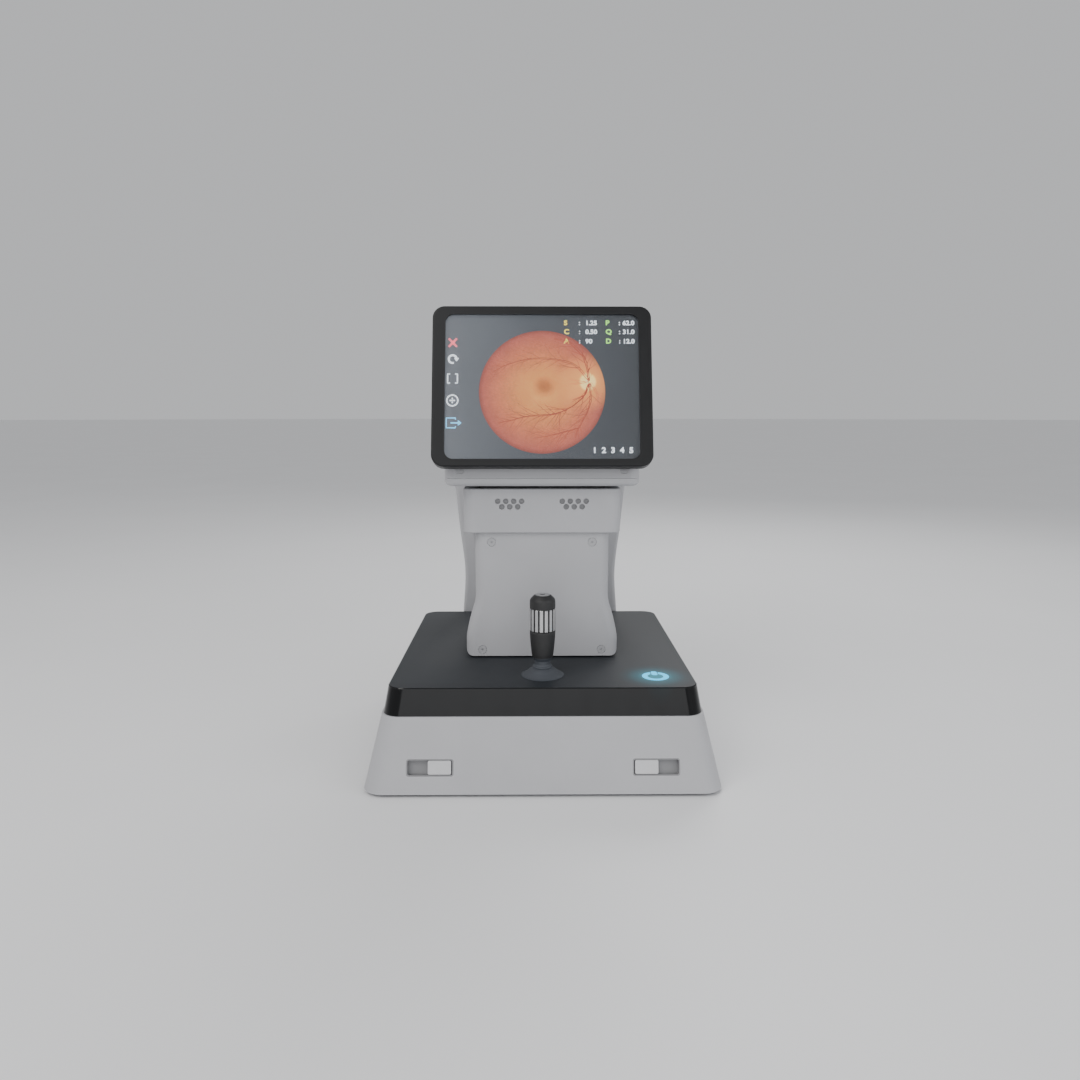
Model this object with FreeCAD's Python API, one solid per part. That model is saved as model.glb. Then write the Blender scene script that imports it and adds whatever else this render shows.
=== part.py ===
import FreeCAD, Part
import os, math

# Table-top eye-examination instrument on a tapered base, built as separate
# pieces.  All lengths are millimetres.  While building, x is to the right of
# the operator, y runs from the operator's edge of the base towards the
# patient and z is up from the table.  On export everything is shifted so that
# the origin is under the middle of the instrument.

# ---------------------------------------------------------------- dimensions
BASE_W, BASE_D = 310.0, 322.0      # base shell at its lower edge
FOOT_H = 3.0                       # base shell stands this high on its feet
SHELL_TOP = 66.2                   # top of the light shell
CAP_TOP = 90.1                     # top of the black cap
SLOPE = 0.2355                     # inward slope of the shell's sides
WALL = 3.0                         # shell wall
CAP_W, CAP_D = 269.0, 281.0        # cap at its top
CORNER_R = 18.0                    # plan corner radius of the shell
BASE_CY = BASE_D / 2.0

JOY_Y = 57.8                       # joystick axis from the front edge
JOY_PZ = 80.0                      # height of the gimbal's two axes
JOY_TILT = 10.0                    # joystick lean each way, degrees

X_TRAVEL, Y_TRAVEL = 38.0, 18.0    # alignment stage travel each way
Z_TRAVEL = 30.0                    # head lift
POST_HALF = 12.0                   # half width of the square post
COL_Y0, COL_Y1 = 111.6, 203.0      # column front and rear faces
COL_CY = 157.0                     # middle of the stage in y
COL_HW_FOOT, COL_HW = 72.85, 63.5  # half width at the flared foot, and above
COL_Z0, COL_Z1 = 91.6, 211.5       # column covers
VENT_Y0, VENT_Y1 = 107.6, 207.0
VENT_HW, VENT_Z1 = 74.0, 253.3
SCREW_R = 3.8

HEAD_HW = 90.0                     # head half width
HEAD_Z0, SEAM_Z = 256.6, 263.9     # head tray bottom and the seam above it
HEAD_TOP = 408.0
HEAD_Y1 = 250.0                    # patient-side face of the head
LEAN = math.radians(15.5)          # lean of the monitor and head front
AXIS_Z = 342.0                     # optical axis height
NOSE_Y1 = 268.0

MON_W, MON_S0, MON_S1 = 199.0, 2.2, 151.0   # monitor width, lower, upper edge
MON_T = 15.0                       # monitor thickness
MON_OY, MON_OZ = 75.6, 274.1       # foot of the monitor's front plane
SCR_W, SCR_S0, SCR_S1 = 175.5, 9.0, 143.2   # screen opening
HINGE_S, HINGE_D = 128.0, 27.0     # monitor hinge axis, along and behind front
MON_TILT = 40.0

FRAME_Y0, FRAME_Y1 = 312.0, 330.0  # face frame
CHIN_Y = 345.0                     # chin post axis
ORIGIN_Y = 190.0                   # middle of the instrument in y

V = FreeCAD.Vector
os.makedirs("parts", exist_ok=True)
NODES = []


def export(name, shape):
    """Write one node, shifted to the instrument's own origin."""
    s = shape.copy()
    s.translate(V(0, -ORIGIN_Y, 0))
    sol = s.Solids
    if len(sol) == 1:
        s = sol[0]
    else:
        s = Part.makeCompound(sol)
    ok = all(q.isValid() and q.isClosed() and q.Volume > 0 for q in sol)
    b = s.BoundBox
    print("%-22s %2d solid  V=%10.1f  ok=%s  x %.1f..%.1f y %.1f..%.1f z %.1f..%.1f"
          % (name, len(sol), s.Volume, ok, b.XMin, b.XMax, b.YMin, b.YMax, b.ZMin, b.ZMax))
    s.exportStep("parts/%s.step" % name)
    NODES.append(name)


def box(x0, x1, y0, y1, z0, z1):
    return Part.makeBox(x1 - x0, y1 - y0, z1 - z0, V(x0, y0, z0))


def cyl(r, p, d, h):
    return Part.makeCylinder(r, h, V(*p), V(*d))


def fuse(*a):
    s = a[0]
    for b in a[1:]:
        s = s.fuse(b)
    return s.removeSplitter()


def rrect(hx, hy, r, cx, cy, z):
    """Closed wire: rounded rectangle in a plane z = constant."""
    k = math.sqrt(0.5)
    e = []
    c = [(hx - r, hy - r, 0), (-hx + r, hy - r, 90), (-hx + r, -hy + r, 180), (hx - r, -hy + r, 270)]
    pts = []
    for px, py, a in c:
        a0, am, a1 = [math.radians(a + t) for t in (0, 45, 90)]
        pts.append([V(cx + px + r * math.cos(t), cy + py + r * math.sin(t), z) for t in (a0, am, a1)])
    for i in range(4):
        p, q = pts[i], pts[(i + 1) % 4]
        e.append(Part.Arc(p[0], p[1], p[2]).toShape())
        e.append(Part.LineSegment(p[2], q[0]).toShape())
    return Part.Wire(e)


def rbox(x0, x1, y0, y1, z0, z1, r):
    """Box with rounded vertical edges."""
    w = rrect((x1 - x0) / 2, (y1 - y0) / 2, r, (x0 + x1) / 2, (y0 + y1) / 2, z0)
    return Part.Face(w).extrude(V(0, 0, z1 - z0))


def rloft(s0, z0, s1, z1, cx, cy):
    """Straight-sided loft between two rounded rectangles (hx, hy, r)."""
    a = rrect(s0[0], s0[1], s0[2], cx, cy, z0)
    b = rrect(s1[0], s1[1], s1[2], cx, cy, z1)
    return Part.makeLoft([a, b], True, True)


def revolve(prof, cx, cy):
    """Solid of revolution about a vertical axis from (r, z) corners."""
    p = [V(cx + r, cy, z) for r, z in prof]
    w = Part.makePolygon(p + [p[0]])
    return Part.Face(w).revolve(V(cx, cy, 0), V(0, 0, 1), 360)


def yz_prism(pts, x0, x1):
    """Extrude a closed (y, z) outline along x."""
    p = [V(x0, y, z) for y, z in pts]
    return Part.Face(Part.makePolygon(p + [p[0]])).extrude(V(x1 - x0, 0, 0))


def edges_where(shape, test):
    return [e for e in shape.Edges if test(e)]


def at_slope(x, z):
    """Placement on the base's sloping front: local x right, y up the slope,
    z out of the face towards the operator."""
    a = math.atan(SLOPE)
    y = (z - FOOT_H) * SLOPE
    m = FreeCAD.Matrix(1, 0, 0, x,
                       0, math.sin(a), -math.cos(a), y,
                       0, math.cos(a), math.sin(a), z,
                       0, 0, 0, 1)
    return m


def at_monitor():
    """Placement on the monitor's front plane: local x right, y up the plane,
    z out of the glass towards the operator."""
    return FreeCAD.Matrix(1, 0, 0, 0,
                          0, math.sin(LEAN), -math.cos(LEAN), MON_OY,
                          0, math.cos(LEAN), math.sin(LEAN), MON_OZ,
                          0, 0, 0, 1)


def place(shape, m):
    s = shape.copy()
    s.transformShape(m)
    return s


# ---------------------------------------------------------------------- base
def outer_half(z):
    t = (z - FOOT_H) * SLOPE
    return BASE_W / 2 - t, BASE_D / 2 - t


h0, h1 = outer_half(FOOT_H), outer_half(SHELL_TOP)
base_outer = rloft((h0[0], h0[1], CORNER_R), FOOT_H, (h1[0], h1[1], CORNER_R - 2), SHELL_TOP, 0, BASE_CY)
base_inner = rloft((h0[0] - WALL, h0[1] - WALL, CORNER_R - WALL), FOOT_H,
                   (h1[0] - WALL, h1[1] - WALL, CORNER_R - 2 - WALL), SHELL_TOP, 0, BASE_CY)
shell = base_outer.cut(base_inner)

# slide switch trays in the front slope
SW_X, SW_Z = 96.5, 24.8
SW_W, SW_H, SW_DEPTH = 38.3, 12.7, 5.5
KNOB_W, KNOB_TRAVEL = 20.0, 16.0
tray = rbox(-SW_W / 2 - 1.2, SW_W / 2 + 1.2, -SW_H / 2 - 1.2, SW_H / 2 + 1.2, -SW_DEPTH - 1.5, 0, 2.4)
tray = tray.cut(rbox(-SW_W / 2, SW_W / 2, -SW_H / 2, SW_H / 2, -SW_DEPTH, 1, 1.6))
# grooves in the long walls that hold the knob's tongues
tray = tray.cut(box(-SW_W / 2 + 1, SW_W / 2 - 1, -SW_H / 2 - 0.8, SW_H / 2 + 0.8, -SW_DEPTH, -SW_DEPTH + 1.6))
for sx in (-1, 1):
    cutter = place(rbox(-SW_W / 2 - 1.2, SW_W / 2 + 1.2, -SW_H / 2 - 1.2, SW_H / 2 + 1.2, -9, 4, 2.4), at_slope(sx * SW_X, SW_Z))
    shell = shell.cut(cutter)
export("switch_trays", Part.makeCompound([place(tray, at_slope(sx * SW_X, SW_Z)) for sx in (-1, 1)]))
knob = rbox(-KNOB_W / 2, KNOB_W / 2, -SW_H / 2 + 0.35, SW_H / 2 - 0.35, -SW_DEPTH + 0.3, -0.6, 1.4)
try:
    kf = knob.makeFillet(0.5, [e for e in knob.Edges if e.BoundBox.ZMin > -0.7])
    knob = kf if kf.isValid() else knob
except Exception:
    print("knob fillet left out")
knob = knob.fuse(box(-KNOB_W / 2 + 2, KNOB_W / 2 - 2, -SW_H / 2 - 0.5, SW_H / 2 + 0.5, -SW_DEPTH + 0.3, -SW_DEPTH + 1.3)).removeSplitter()
off = SW_W / 2 - KNOB_W / 2 - 1.0
export("slide_knob_left", place(knob, at_slope(-SW_X + off, SW_Z)))
export("slide_knob_right", place(knob, at_slope(SW_X - off, SW_Z)))

# mains inlet in the back slope, beside the rear housing
IN_X, IN_Z = -124.0, 30.0
inlet_y = BASE_D - (IN_Z - FOOT_H) * SLOPE
inlet_cut = box(IN_X - 14.5, IN_X + 14.5, inlet_y - 20, inlet_y + 12, IN_Z - 11, IN_Z + 11)
shell = shell.cut(inlet_cut)
export("base_shell", shell)
inlet = box(IN_X - 14.5, IN_X + 14.5, inlet_y - 19, inlet_y + 1.2, IN_Z - 11, IN_Z + 11)
inlet = inlet.cut(box(IN_X - 12, IN_X + 12, inlet_y - 14.8, inlet_y + 3, IN_Z - 8.5, IN_Z + 8.5))
for px, pz in ((-6.5, -2.5), (6.5, -2.5), (0, 2.5)):
    inlet = inlet.fuse(box(IN_X + px - 1, IN_X + px + 1, inlet_y - 16, inlet_y - 5.5, IN_Z + pz - 2, IN_Z + pz + 2))
export("mains_inlet", inlet.removeSplitter())

# steel floor plate with four threaded mounting holes, and rubber feet
PLATE_HX, PLATE_HY = 150.5, 156.5
PLATE_Z1 = 6.0
MOUNT_DX, MOUNT_DY, MOUNT_R = 200.0, 200.0, 2.5
plate = rbox(-PLATE_HX, PLATE_HX, BASE_CY - PLATE_HY, BASE_CY + PLATE_HY, FOOT_H, PLATE_Z1, 13)
for sx in (-1, 1):
    for sy in (-1, 1):
        plate = plate.cut(cyl(MOUNT_R, (sx * MOUNT_DX / 2, BASE_CY + sy * MOUNT_DY / 2, 0), (0, 0, 1), 10))
export("base_plate", plate)
feet = []
for sx in (-1, 1):
    for sy in (-1, 1):
        feet.append(revolve([(0, 0), (10.5, 0), (12, 1.2), (12, FOOT_H), (0, FOOT_H)], sx * 128, BASE_CY + sy * 134))
for sx in (-1, 1):
    feet.append(revolve([(0, 0), (10.5, 0), (12, 1.2), (12, FOOT_H), (0, FOOT_H)], sx * 82, 362))
export("rubber_feet", Part.makeCompound(feet))

# black cap: a shallow hollow lid standing on the shell's rim
c0 = (h1[0] - 1.4, h1[1] - 1.4)
zc = CAP_TOP - 0.9
f = (zc - SHELL_TOP) / (CAP_TOP - SHELL_TOP)
c1 = (c0[0] + (CAP_W / 2 - c0[0]) * f, c0[1] + (CAP_D / 2 - c0[1]) * f)
cap = rloft((c0[0], c0[1], 15.2), SHELL_TOP, (c1[0], c1[1], 15.0), zc, 0, BASE_CY)
cap = cap.fuse(rloft((c1[0], c1[1], 15.0), zc, (CAP_W / 2 - 0.7, CAP_D / 2 - 0.7, 14.2), CAP_TOP, 0, BASE_CY))
lip = (h1[0] - WALL - 0.3, h1[1] - WALL - 0.3)
cap = cap.fuse(rbox(-lip[0], lip[0], BASE_CY - lip[1], BASE_CY + lip[1], SHELL_TOP - 4, SHELL_TOP, 12.5))
cap = cap.cut(rloft((lip[0] - 2.4, lip[1] - 2.4, 10.5), SHELL_TOP - 4, (CAP_W / 2 - 3.2, CAP_D / 2 - 3.2, 11), CAP_TOP - 2.5, 0, BASE_CY))
# opening for the stage's post, hole for the joystick, window for the lens
cap = cap.cut(rbox(-POST_HALF - X_TRAVEL - 2, POST_HALF + X_TRAVEL + 2,
                   COL_CY - POST_HALF - Y_TRAVEL - 2, COL_CY + POST_HALF + Y_TRAVEL + 2, CAP_TOP - 4, CAP_TOP + 1, 4))
cap = cap.cut(cyl(17.5, (0, JOY_Y, CAP_TOP - 5), (0, 0, 1), 8))
ICON_X, ICON_Y = 101.0, 51.7
ring = cyl(12.0, (ICON_X, ICON_Y, CAP_TOP - 4), (0, 0, 1), 4).cut(cyl(7.0, (ICON_X, ICON_Y, CAP_TOP - 5), (0, 0, 1), 6))
ring = ring.cut(box(ICON_X - 3.5, ICON_X + 3.5, ICON_Y + 2, ICON_Y + 15, CAP_TOP - 5, CAP_TOP + 1))
bar = rbox(ICON_X - 2.7, ICON_X + 2.7, ICON_Y + 3.0, ICON_Y + 14.0, CAP_TOP - 4, CAP_TOP, 2.2)
cap = cap.cut(ring).cut(bar).removeSplitter()
export("top_cover", cap)
# the lens: a flange under the cap's 2.5 mm top, with the symbol filling the window
lens = ring.fuse(bar).common(box(ICON_X - 20, ICON_X + 20, ICON_Y - 20, ICON_Y + 20, CAP_TOP - 2.6, CAP_TOP))
lens = lens.fuse(box(ICON_X - 13, ICON_X + 13, ICON_Y - 13, ICON_Y + 15.5, CAP_TOP - 3.7, CAP_TOP - 2.5)).removeSplitter()
export("power_lens", lens)

# ------------------------------------------------------- inside of the base
ROD_Y_X, ROD_Y_Z, ROD_Y_R = 60.0, 40.0, 5.0
BLK_Y = [(90.0, 100.0), (214.0, 224.0)]
SCREW_Y_Z, LEAD_R = 30.0, 3.0
RUN = 0.05                         # running clearance on radius
blocks = []
for y0, y1 in BLK_Y:
    b = box(-70, 70, y0, y1, PLATE_Z1, 22).fuse(box(-70, -50, y0, y1, 22, 49)).fuse(box(50, 70, y0, y1, 22, 49)).fuse(box(-9, 9, y0, y1, 22, 38))
    for sx in (-1, 1):
        b = b.cut(cyl(ROD_Y_R, (sx * ROD_Y_X, y0 - 1, ROD_Y_Z), (0, 1, 0), 20))
    b = b.cut(cyl(LEAD_R, (0, y0 - 1, SCREW_Y_Z), (0, 1, 0), 20))
    blocks.append(b.removeSplitter())
export("y_rod_blocks", Part.makeCompound(blocks))
export("y_guide_rods", Part.makeCompound([cyl(ROD_Y_R, (sx * ROD_Y_X, 90, ROD_Y_Z), (0, 1, 0), 134) for sx in (-1, 1)]))
export("y_lead_screw", cyl(LEAD_R, (0, 90, SCREW_Y_Z), (0, 1, 0), 134))

psu = box(-118, -8, 238, 296, PLATE_Z1 + 5, 48)
for xx in (-114, -14):
    for yy in (242, 288):
        psu = psu.fuse(box(xx, xx + 4, yy, yy + 4, PLATE_Z1, PLATE_Z1 + 5))
for i in range(9):
    psu = psu.cut(rbox(-108 + 10.5 * i, -104 + 10.5 * i, 246, 288, 45, 49, 1.9))
export("power_supply", psu.removeSplitter())

# ------------------------------------------------------------------ joystick
# collar: fixed dome around the stick, seated in the cap's hole
DOME_R, DOME_IN, FLANGE_R = 19.3, 18.1, 19.8      # about the gimbal's centre
def dome_z(x, r):
    return JOY_PZ + math.sqrt(r * r - x * x)


prof = [(15.4, 87.0), (17.5, 87.0), (17.5, 90.1), (19.2, 90.1), (19.2, 90.5), (18.2, 90.75), (16.6, 91.7), (14.8, 92.95)]
prof += [(x, dome_z(x, DOME_R)) for x in (13.16, 12.0, 11.0, 10.0, 9.2, 8.6)]
prof += [(x, dome_z(x, DOME_IN)) for x in (9.0, 10.0, 11.0, 12.0, 13.0, 14.0, 15.0)]
export("joystick_collar", revolve(prof, 0, JOY_Y))
# housing: cup under the cap that carries the gimbal's outer pins
JH_R0, JH_R1 = 21.0, 24.0
housing = revolve([(0, 58), (JH_R1, 58), (JH_R1, 87.6), (JH_R0, 87.6), (JH_R0, 60.5), (0, 60.5)], 0, JOY_Y)
for sx in (-1, 1):
    housing = housing.cut(cyl(1.5 + RUN, (sx * 20, JOY_Y, JOY_PZ), (sx, 0, 0), 6))
export("joystick_housing", housing)
# gimbal ring with pins along x that turn in the housing
GR0, GR1 = 16.6, 19.4
gimbal = revolve([(GR0, JOY_PZ - 3), (GR1, JOY_PZ - 3), (GR1, JOY_PZ + 3), (GR0, JOY_PZ + 3)], 0, JOY_Y)
for sx in (-1, 1):
    gimbal = gimbal.fuse(cyl(1.5, (sx * 18, JOY_Y, JOY_PZ), (sx, 0, 0), 5.6))
for sy in (-1, 1):
    gimbal = gimbal.cut(cyl(1.5 + RUN, (0, JOY_Y + sy * 15, JOY_PZ), (0, sy, 0), 6))
export("gimbal_ring", gimbal.removeSplitter())
# shaft: ball with pins along y, neck, flange and the core inside the grip
BALL_R = 13.6
ball = Part.makeSphere(BALL_R, V(0, JOY_Y, JOY_PZ)).common(box(-20, 20, JOY_Y - 20, JOY_Y + 20, JOY_PZ - 7, JOY_PZ + 20))
# the flange above the collar is hollow below, so that it clears the dome at every lean
NECK_R = 3.8
prof = [(0, 70), (NECK_R, 70), (NECK_R, dome_z(NECK_R, FLANGE_R))]
prof += [(x, dome_z(x, FLANGE_R)) for x in (4.5, 5.5, 6.5, 7.5, 8.5, 9.0)]
prof += [(9.0, 98.5), (8.7, 98.95), (7.6, 99.6), (7.1, 100.6), (7.0, 103.6), (8.4, 105.8), (9.0, 107.0), (4.0, 107.0), (4.0, 150.0), (0, 150.0)]
neck = revolve(prof, 0, JOY_Y)
shaft = ball.fuse(neck)
for sy in (-1, 1):
    shaft = shaft.fuse(cyl(1.5, (0, JOY_Y + sy * 12, JOY_PZ), (0, sy, 0), 6.6))
export("joystick_shaft", shaft.removeSplitter())
# grip with a thin spigot that carries the ribbed ring
GRIP_SPIGOT = 8.6
prof = [(4.0, 107.0), (9.2, 107.0), (9.8, 110), (10.6, 117), (11.2, 124), (11.5, 129), (11.45, 130.6), (10.9, 131.1),
        (GRIP_SPIGOT, 131.1), (GRIP_SPIGOT, 151.7), (4.0, 151.7)]
export("joystick_grip", revolve(prof, 0, JOY_Y))
# ribbed ring: 16 ribs round a tube, turns freely on the spigot
RIBS, RING_Z0, RING_Z1 = 16, 131.4, 151.3
ringj = revolve([(GRIP_SPIGOT + RUN, RING_Z0), (10.2, RING_Z0), (10.2, RING_Z1), (GRIP_SPIGOT + RUN, RING_Z1)], 0, JOY_Y)
outer = revolve([(9.6, RING_Z0), (11.1, RING_Z0), (11.5, RING_Z0 + 0.5), (11.5, RING_Z1 - 0.5), (11.1, RING_Z1), (9.6, RING_Z1)], 0, JOY_Y)
for i in range(RIBS):
    a = math.radians(360.0 / RIBS * i - 6.0)
    w = math.radians(7.0)
    p = [V(0, JOY_Y, RING_Z0)] + [V(16 * math.cos(a + t), JOY_Y + 16 * math.sin(a + t), RING_Z0) for t in (-w, w)]
    wedge = Part.Face(Part.makePolygon(p + [p[0]])).extrude(V(0, 0, RING_Z1 - RING_Z0))
    ringj = ringj.fuse(outer.common(wedge))
export("joystick_ring", ringj.removeSplitter())
# cap above the ring, with a pocket for the button
prof = [(0, 151.7), (11.4, 151.7), (11.5, 154.5), (11.35, 158.4), (10.8, 160.0), (8.4, 162.6), (7.4, 163.25), (6.6, 163.5),
        (6.6, 158.5), (5.4, 158.5), (5.4, 156.0), (0, 156.0)]
export("joystick_cap", revolve(prof, 0, JOY_Y))
# button: silver rim with a dimple, pressed down 1.6 mm
BTN_TRAVEL = 1.6
prof = [(0, 160.5), (6.4, 160.5), (6.4, 163.7), (5.9, 164.1), (3.6, 164.1), (2.8, 163.4), (0, 163.2)]
export("trigger_button", revolve(prof, 0, JOY_Y))

# ------------------------------------------------- patient side, fixed to base
HOUSE_X, HOUSE_Y1, HOUSE_Z1 = 100.0, 380.0, 62.0
house = rbox(-HOUSE_X, HOUSE_X, 296, HOUSE_Y1, FOOT_H, HOUSE_Z1, 15)
house = house.cut(box(-150, 150, 290, 305, 0, 70))
house = house.cut(yz_prism([(280, -1), (BASE_D - (-1 - FOOT_H) * SLOPE, -1), (BASE_D - (75 - FOOT_H) * SLOPE, 75), (280, 75)], -160, 160))
inner = rbox(-HOUSE_X + 3, HOUSE_X - 3, 327, HOUSE_Y1 - 3, FOOT_H - 1, HOUSE_Z1 - 3, 12)
for sx in (-1, 1):
    inner = inner.cut(cyl(16, (sx * 82, 362, 0), (0, 0, 1), 15))
house = house.cut(inner)
house = house.cut(box(-5, 5, CHIN_Y - 5, CHIN_Y + 5, HOUSE_Z1 - 5, HOUSE_Z1 + 1))
export("rear_housing", house.removeSplitter())

def outline(pts):
    """Closed face in the x-z plane through y = FRAME_Y0: smooth curves
    through each list of points, joined by straight lines."""
    edges, last = [], None
    first = None
    for seg in pts:
        q = [V(x, FRAME_Y0, z) for x, z in seg]
        if last is not None:
            edges.append(Part.LineSegment(last, q[0]).toShape())
        else:
            first = q[0]
        if len(q) == 2:
            edges.append(Part.LineSegment(q[0], q[1]).toShape())
        else:
            c = Part.BSplineCurve()
            c.interpolate(q)
            edges.append(c.toShape())
        last = q[-1]
    edges.append(Part.LineSegment(last, first).toShape())
    return Part.Face(Part.Wire(edges))

UP_OUT = [(93.0, HOUSE_Z1), (91.0, 100), (89.2, 135), (94, 182), (99.8, 238), (108, 290), (115, 335), (116, 372), (111.5, 398)]
UP_IN = [(75.0, HOUSE_Z1), (72.5, 100), (71.0, 135), (75.5, 182), (81.0, 238), (89, 290), (95.5, 335), (96, 372), (91.5, 398)]
for name, sx in (("frame_upright_right", 1), ("frame_upright_left", -1)):
    o = [(sx * x, z) for x, z in UP_OUT]
    i = [(sx * x, z) for x, z in UP_IN]
    up = outline([o, i[::-1]]).extrude(V(0, FRAME_Y1 - FRAME_Y0, 0))
    # soften the long edges of the upright
    es = [e for e in up.Edges if e.Length > 200]
    try:
        up2 = up.makeFillet(4.0, es)
        up = up2 if up2.isValid() else up
    except Exception:
        print("upright fillet left out")
    # canthus mark: short groove across the outer side at eye level
    up = up.cut(box(sx * 125 - 30, sx * 125 + 30, FRAME_Y0 - 1, FRAME_Y0 + 0.6, AXIS_Z - 0.6, AXIS_Z + 0.6))
    export(name, up)

BAND = [(111.5, 398), (104, 412), (88, 424), (60, 432), (0, 435.5)]
BIN = [(91.5, 398), (86, 404), (74, 410), (52, 414.5), (0, 417)]
o = BAND + [(-x, z) for x, z in BAND[-2::-1]]
i = BIN + [(-x, z) for x, z in BIN[-2::-1]]
band = outline([o, i[::-1]]).extrude(V(0, FRAME_Y1 - FRAME_Y0, 0))
es = [e for e in band.Edges if e.Length > 150]
try:
    b2 = band.makeFillet(4.0, es)
    band = b2 if b2.isValid() else band
except Exception:
    print("band fillet left out")
export("forehead_band", band)
# soft forehead pad on the patient's side of the band, slightly hollow in plan
pad = rbox(-60, 60, FRAME_Y1, FRAME_Y1 + 16, 409, 431, 7)
pad = pad.cut(cyl(150, (0, FRAME_Y1 + 160, 400), (0, 0, 1), 40))
export("forehead_pad", pad)

# chin rest: tower with the lift motor, post and cup
TOW_Z1 = 165.0
tower = rbox(-22, 22, CHIN_Y - 14, CHIN_Y + 22, HOUSE_Z1, TOW_Z1, 8)
tower = tower.cut(box(-17, 17, CHIN_Y - 12, CHIN_Y + 19, HOUSE_Z1 - 1, TOW_Z1 - 6))
tower = tower.cut(cyl(9 + RUN, (0, CHIN_Y, TOW_Z1 - 8), (0, 0, 1), 10))
export("chin_tower", tower.removeSplitter())
motor = box(-15, 15, CHIN_Y - 12, CHIN_Y + 16, HOUSE_Z1, HOUSE_Z1 + 28).cut(cyl(LEAD_R + RUN, (0, CHIN_Y, 50), (0, 0, 1), 60))
export("chin_lift_motor", motor)
post = cyl(9, (0, CHIN_Y, 125), (0, 0, 1), 100).fuse(cyl(LEAD_R, (0, CHIN_Y, 58), (0, 0, 1), 68))
export("chin_post", post.removeSplitter())
cup = rbox(-38, 38, CHIN_Y - 20, CHIN_Y + 26, 225, 250, 16)
cup = cup.cut(cyl(60, (0, CHIN_Y + 3, 291), (0, 1, 0), 60).fuse(cyl(60, (0, CHIN_Y + 3, 291), (0, -1, 0), 60)))
for sx in (-1, 1):
    cup = cup.fuse(cyl(1.5, (sx * 31, CHIN_Y - 14, 236), (0, 0, 1), 22))
export("chin_cup", cup.removeSplitter())

# ------------------------------------------------ stage: front-to-back slide
yc = box(-96, 96, COL_CY - 35, COL_CY + 35, 51, 56)
for sx in (-1, 1):
    yc = yc.fuse(box(sx * ROD_Y_X - 10, sx * ROD_Y_X + 10, COL_CY - 27, COL_CY + 27, 29, 51))
    yc = yc.fuse(box(min(sx * 84, sx * 92), max(sx * 84, sx * 92), COL_CY - 28, COL_CY + 28, 56, 74))
ROD_X_Y, ROD_X_Z, ROD_X_R = 18.0, 65.0, 4.0
for sx in (-1, 1):
    yc = yc.cut(cyl(ROD_Y_R + RUN, (sx * ROD_Y_X, 80, ROD_Y_Z), (0, 1, 0), 160))
for sy in (-1, 1):
    yc = yc.cut(cyl(ROD_X_R, (-100, COL_CY + sy * ROD_X_Y, ROD_X_Z), (1, 0, 0), 200))
yc = yc.cut(cyl(LEAD_R, (-100, COL_CY, ROD_X_Z), (1, 0, 0), 200))
export("y_carriage", yc.removeSplitter())
export("y_actuator", box(-16, 16, COL_CY - 15, COL_CY + 15, 14, 51).cut(cyl(LEAD_R + RUN, (0, 100, SCREW_Y_Z), (0, 1, 0), 100)))
export("x_guide_rods", Part.makeCompound([cyl(ROD_X_R, (-92, COL_CY + sy * ROD_X_Y, ROD_X_Z), (1, 0, 0), 184) for sy in (-1, 1)]))
export("x_lead_screw", cyl(LEAD_R, (-92, COL_CY, ROD_X_Z), (1, 0, 0), 184))

# ----------------------------------------------- stage: side-to-side slide
xc = box(-40, 40, COL_CY - 26, COL_CY + 26, 57, 74)
xc = xc.cut(box(-15, 15, COL_CY - 12, COL_CY + 12, 56, 72))
for sy in (-1, 1):
    xc = xc.cut(cyl(ROD_X_R + RUN, (-50, COL_CY + sy * ROD_X_Y, ROD_X_Z), (1, 0, 0), 100))
xc = xc.cut(cyl(LEAD_R + 1.0, (-50, COL_CY, ROD_X_Z), (1, 0, 0), 100))
xc = xc.fuse(box(-POST_HALF, POST_HALF, COL_CY - POST_HALF, COL_CY + POST_HALF, 74, 93)).removeSplitter()
export("x_carriage", xc)
export("x_actuator", box(-15, 15, COL_CY - 12, COL_CY + 12, 58, 72).cut(cyl(LEAD_R + RUN, (-30, COL_CY, ROD_X_Z), (1, 0, 0), 60)))
dust = rbox(-89, 89, COL_CY - 40, COL_CY + 40, 84, 86, 3)
dust = dust.cut(box(-POST_HALF, POST_HALF, COL_CY - POST_HALF, COL_CY + POST_HALF, 80, 90))
export("dust_plate", dust)

# --------------------------------------------------------------------- column
ROD_Z_X, ROD_Z_Y, ROD_Z_R = 36.0, 165.0, 5.0
TIE_Z0, TIE_Z1 = 240.0, 246.0
fr = box(-62, 62, 121, 192, 93, 97)
for sx in (-1, 1):
    fr = fr.fuse(box(min(sx * 52, sx * 56), max(sx * 52, sx * 56), 121, 182, 97, TIE_Z1))
    fr = fr.fuse(box(min(sx * 43, sx * 53), max(sx * 43, sx * 53), 114.1, 128, 198, 207))
    fr = fr.fuse(box(min(sx * 52, sx * 62), max(sx * 52, sx * 62), 114.1, 126, 93, 102.5))
fr = fr.fuse(box(-54, 54, 157, 173, TIE_Z0, TIE_Z1))
for sx in (-1, 1):
    fr = fr.cut(cyl(ROD_Z_R, (sx * ROD_Z_X, ROD_Z_Y, 96), (0, 0, 1), 160))
    fr = fr.cut(cyl(2.0, (sx * 47.5, 100, 202.5), (0, 1, 0), 24))
    fr = fr.cut(cyl(2.0, (sx * 57.1, 100, 97.8), (0, 1, 0), 24))
fr = fr.cut(cyl(LEAD_R, (0, ROD_Z_Y, 96), (0, 0, 1), 160))
export("column_frame", fr.removeSplitter())
export("z_guide_rods", Part.makeCompound([cyl(ROD_Z_R, (sx * ROD_Z_X, ROD_Z_Y, 96), (0, 0, 1), 150) for sx in (-1, 1)]))
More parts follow.
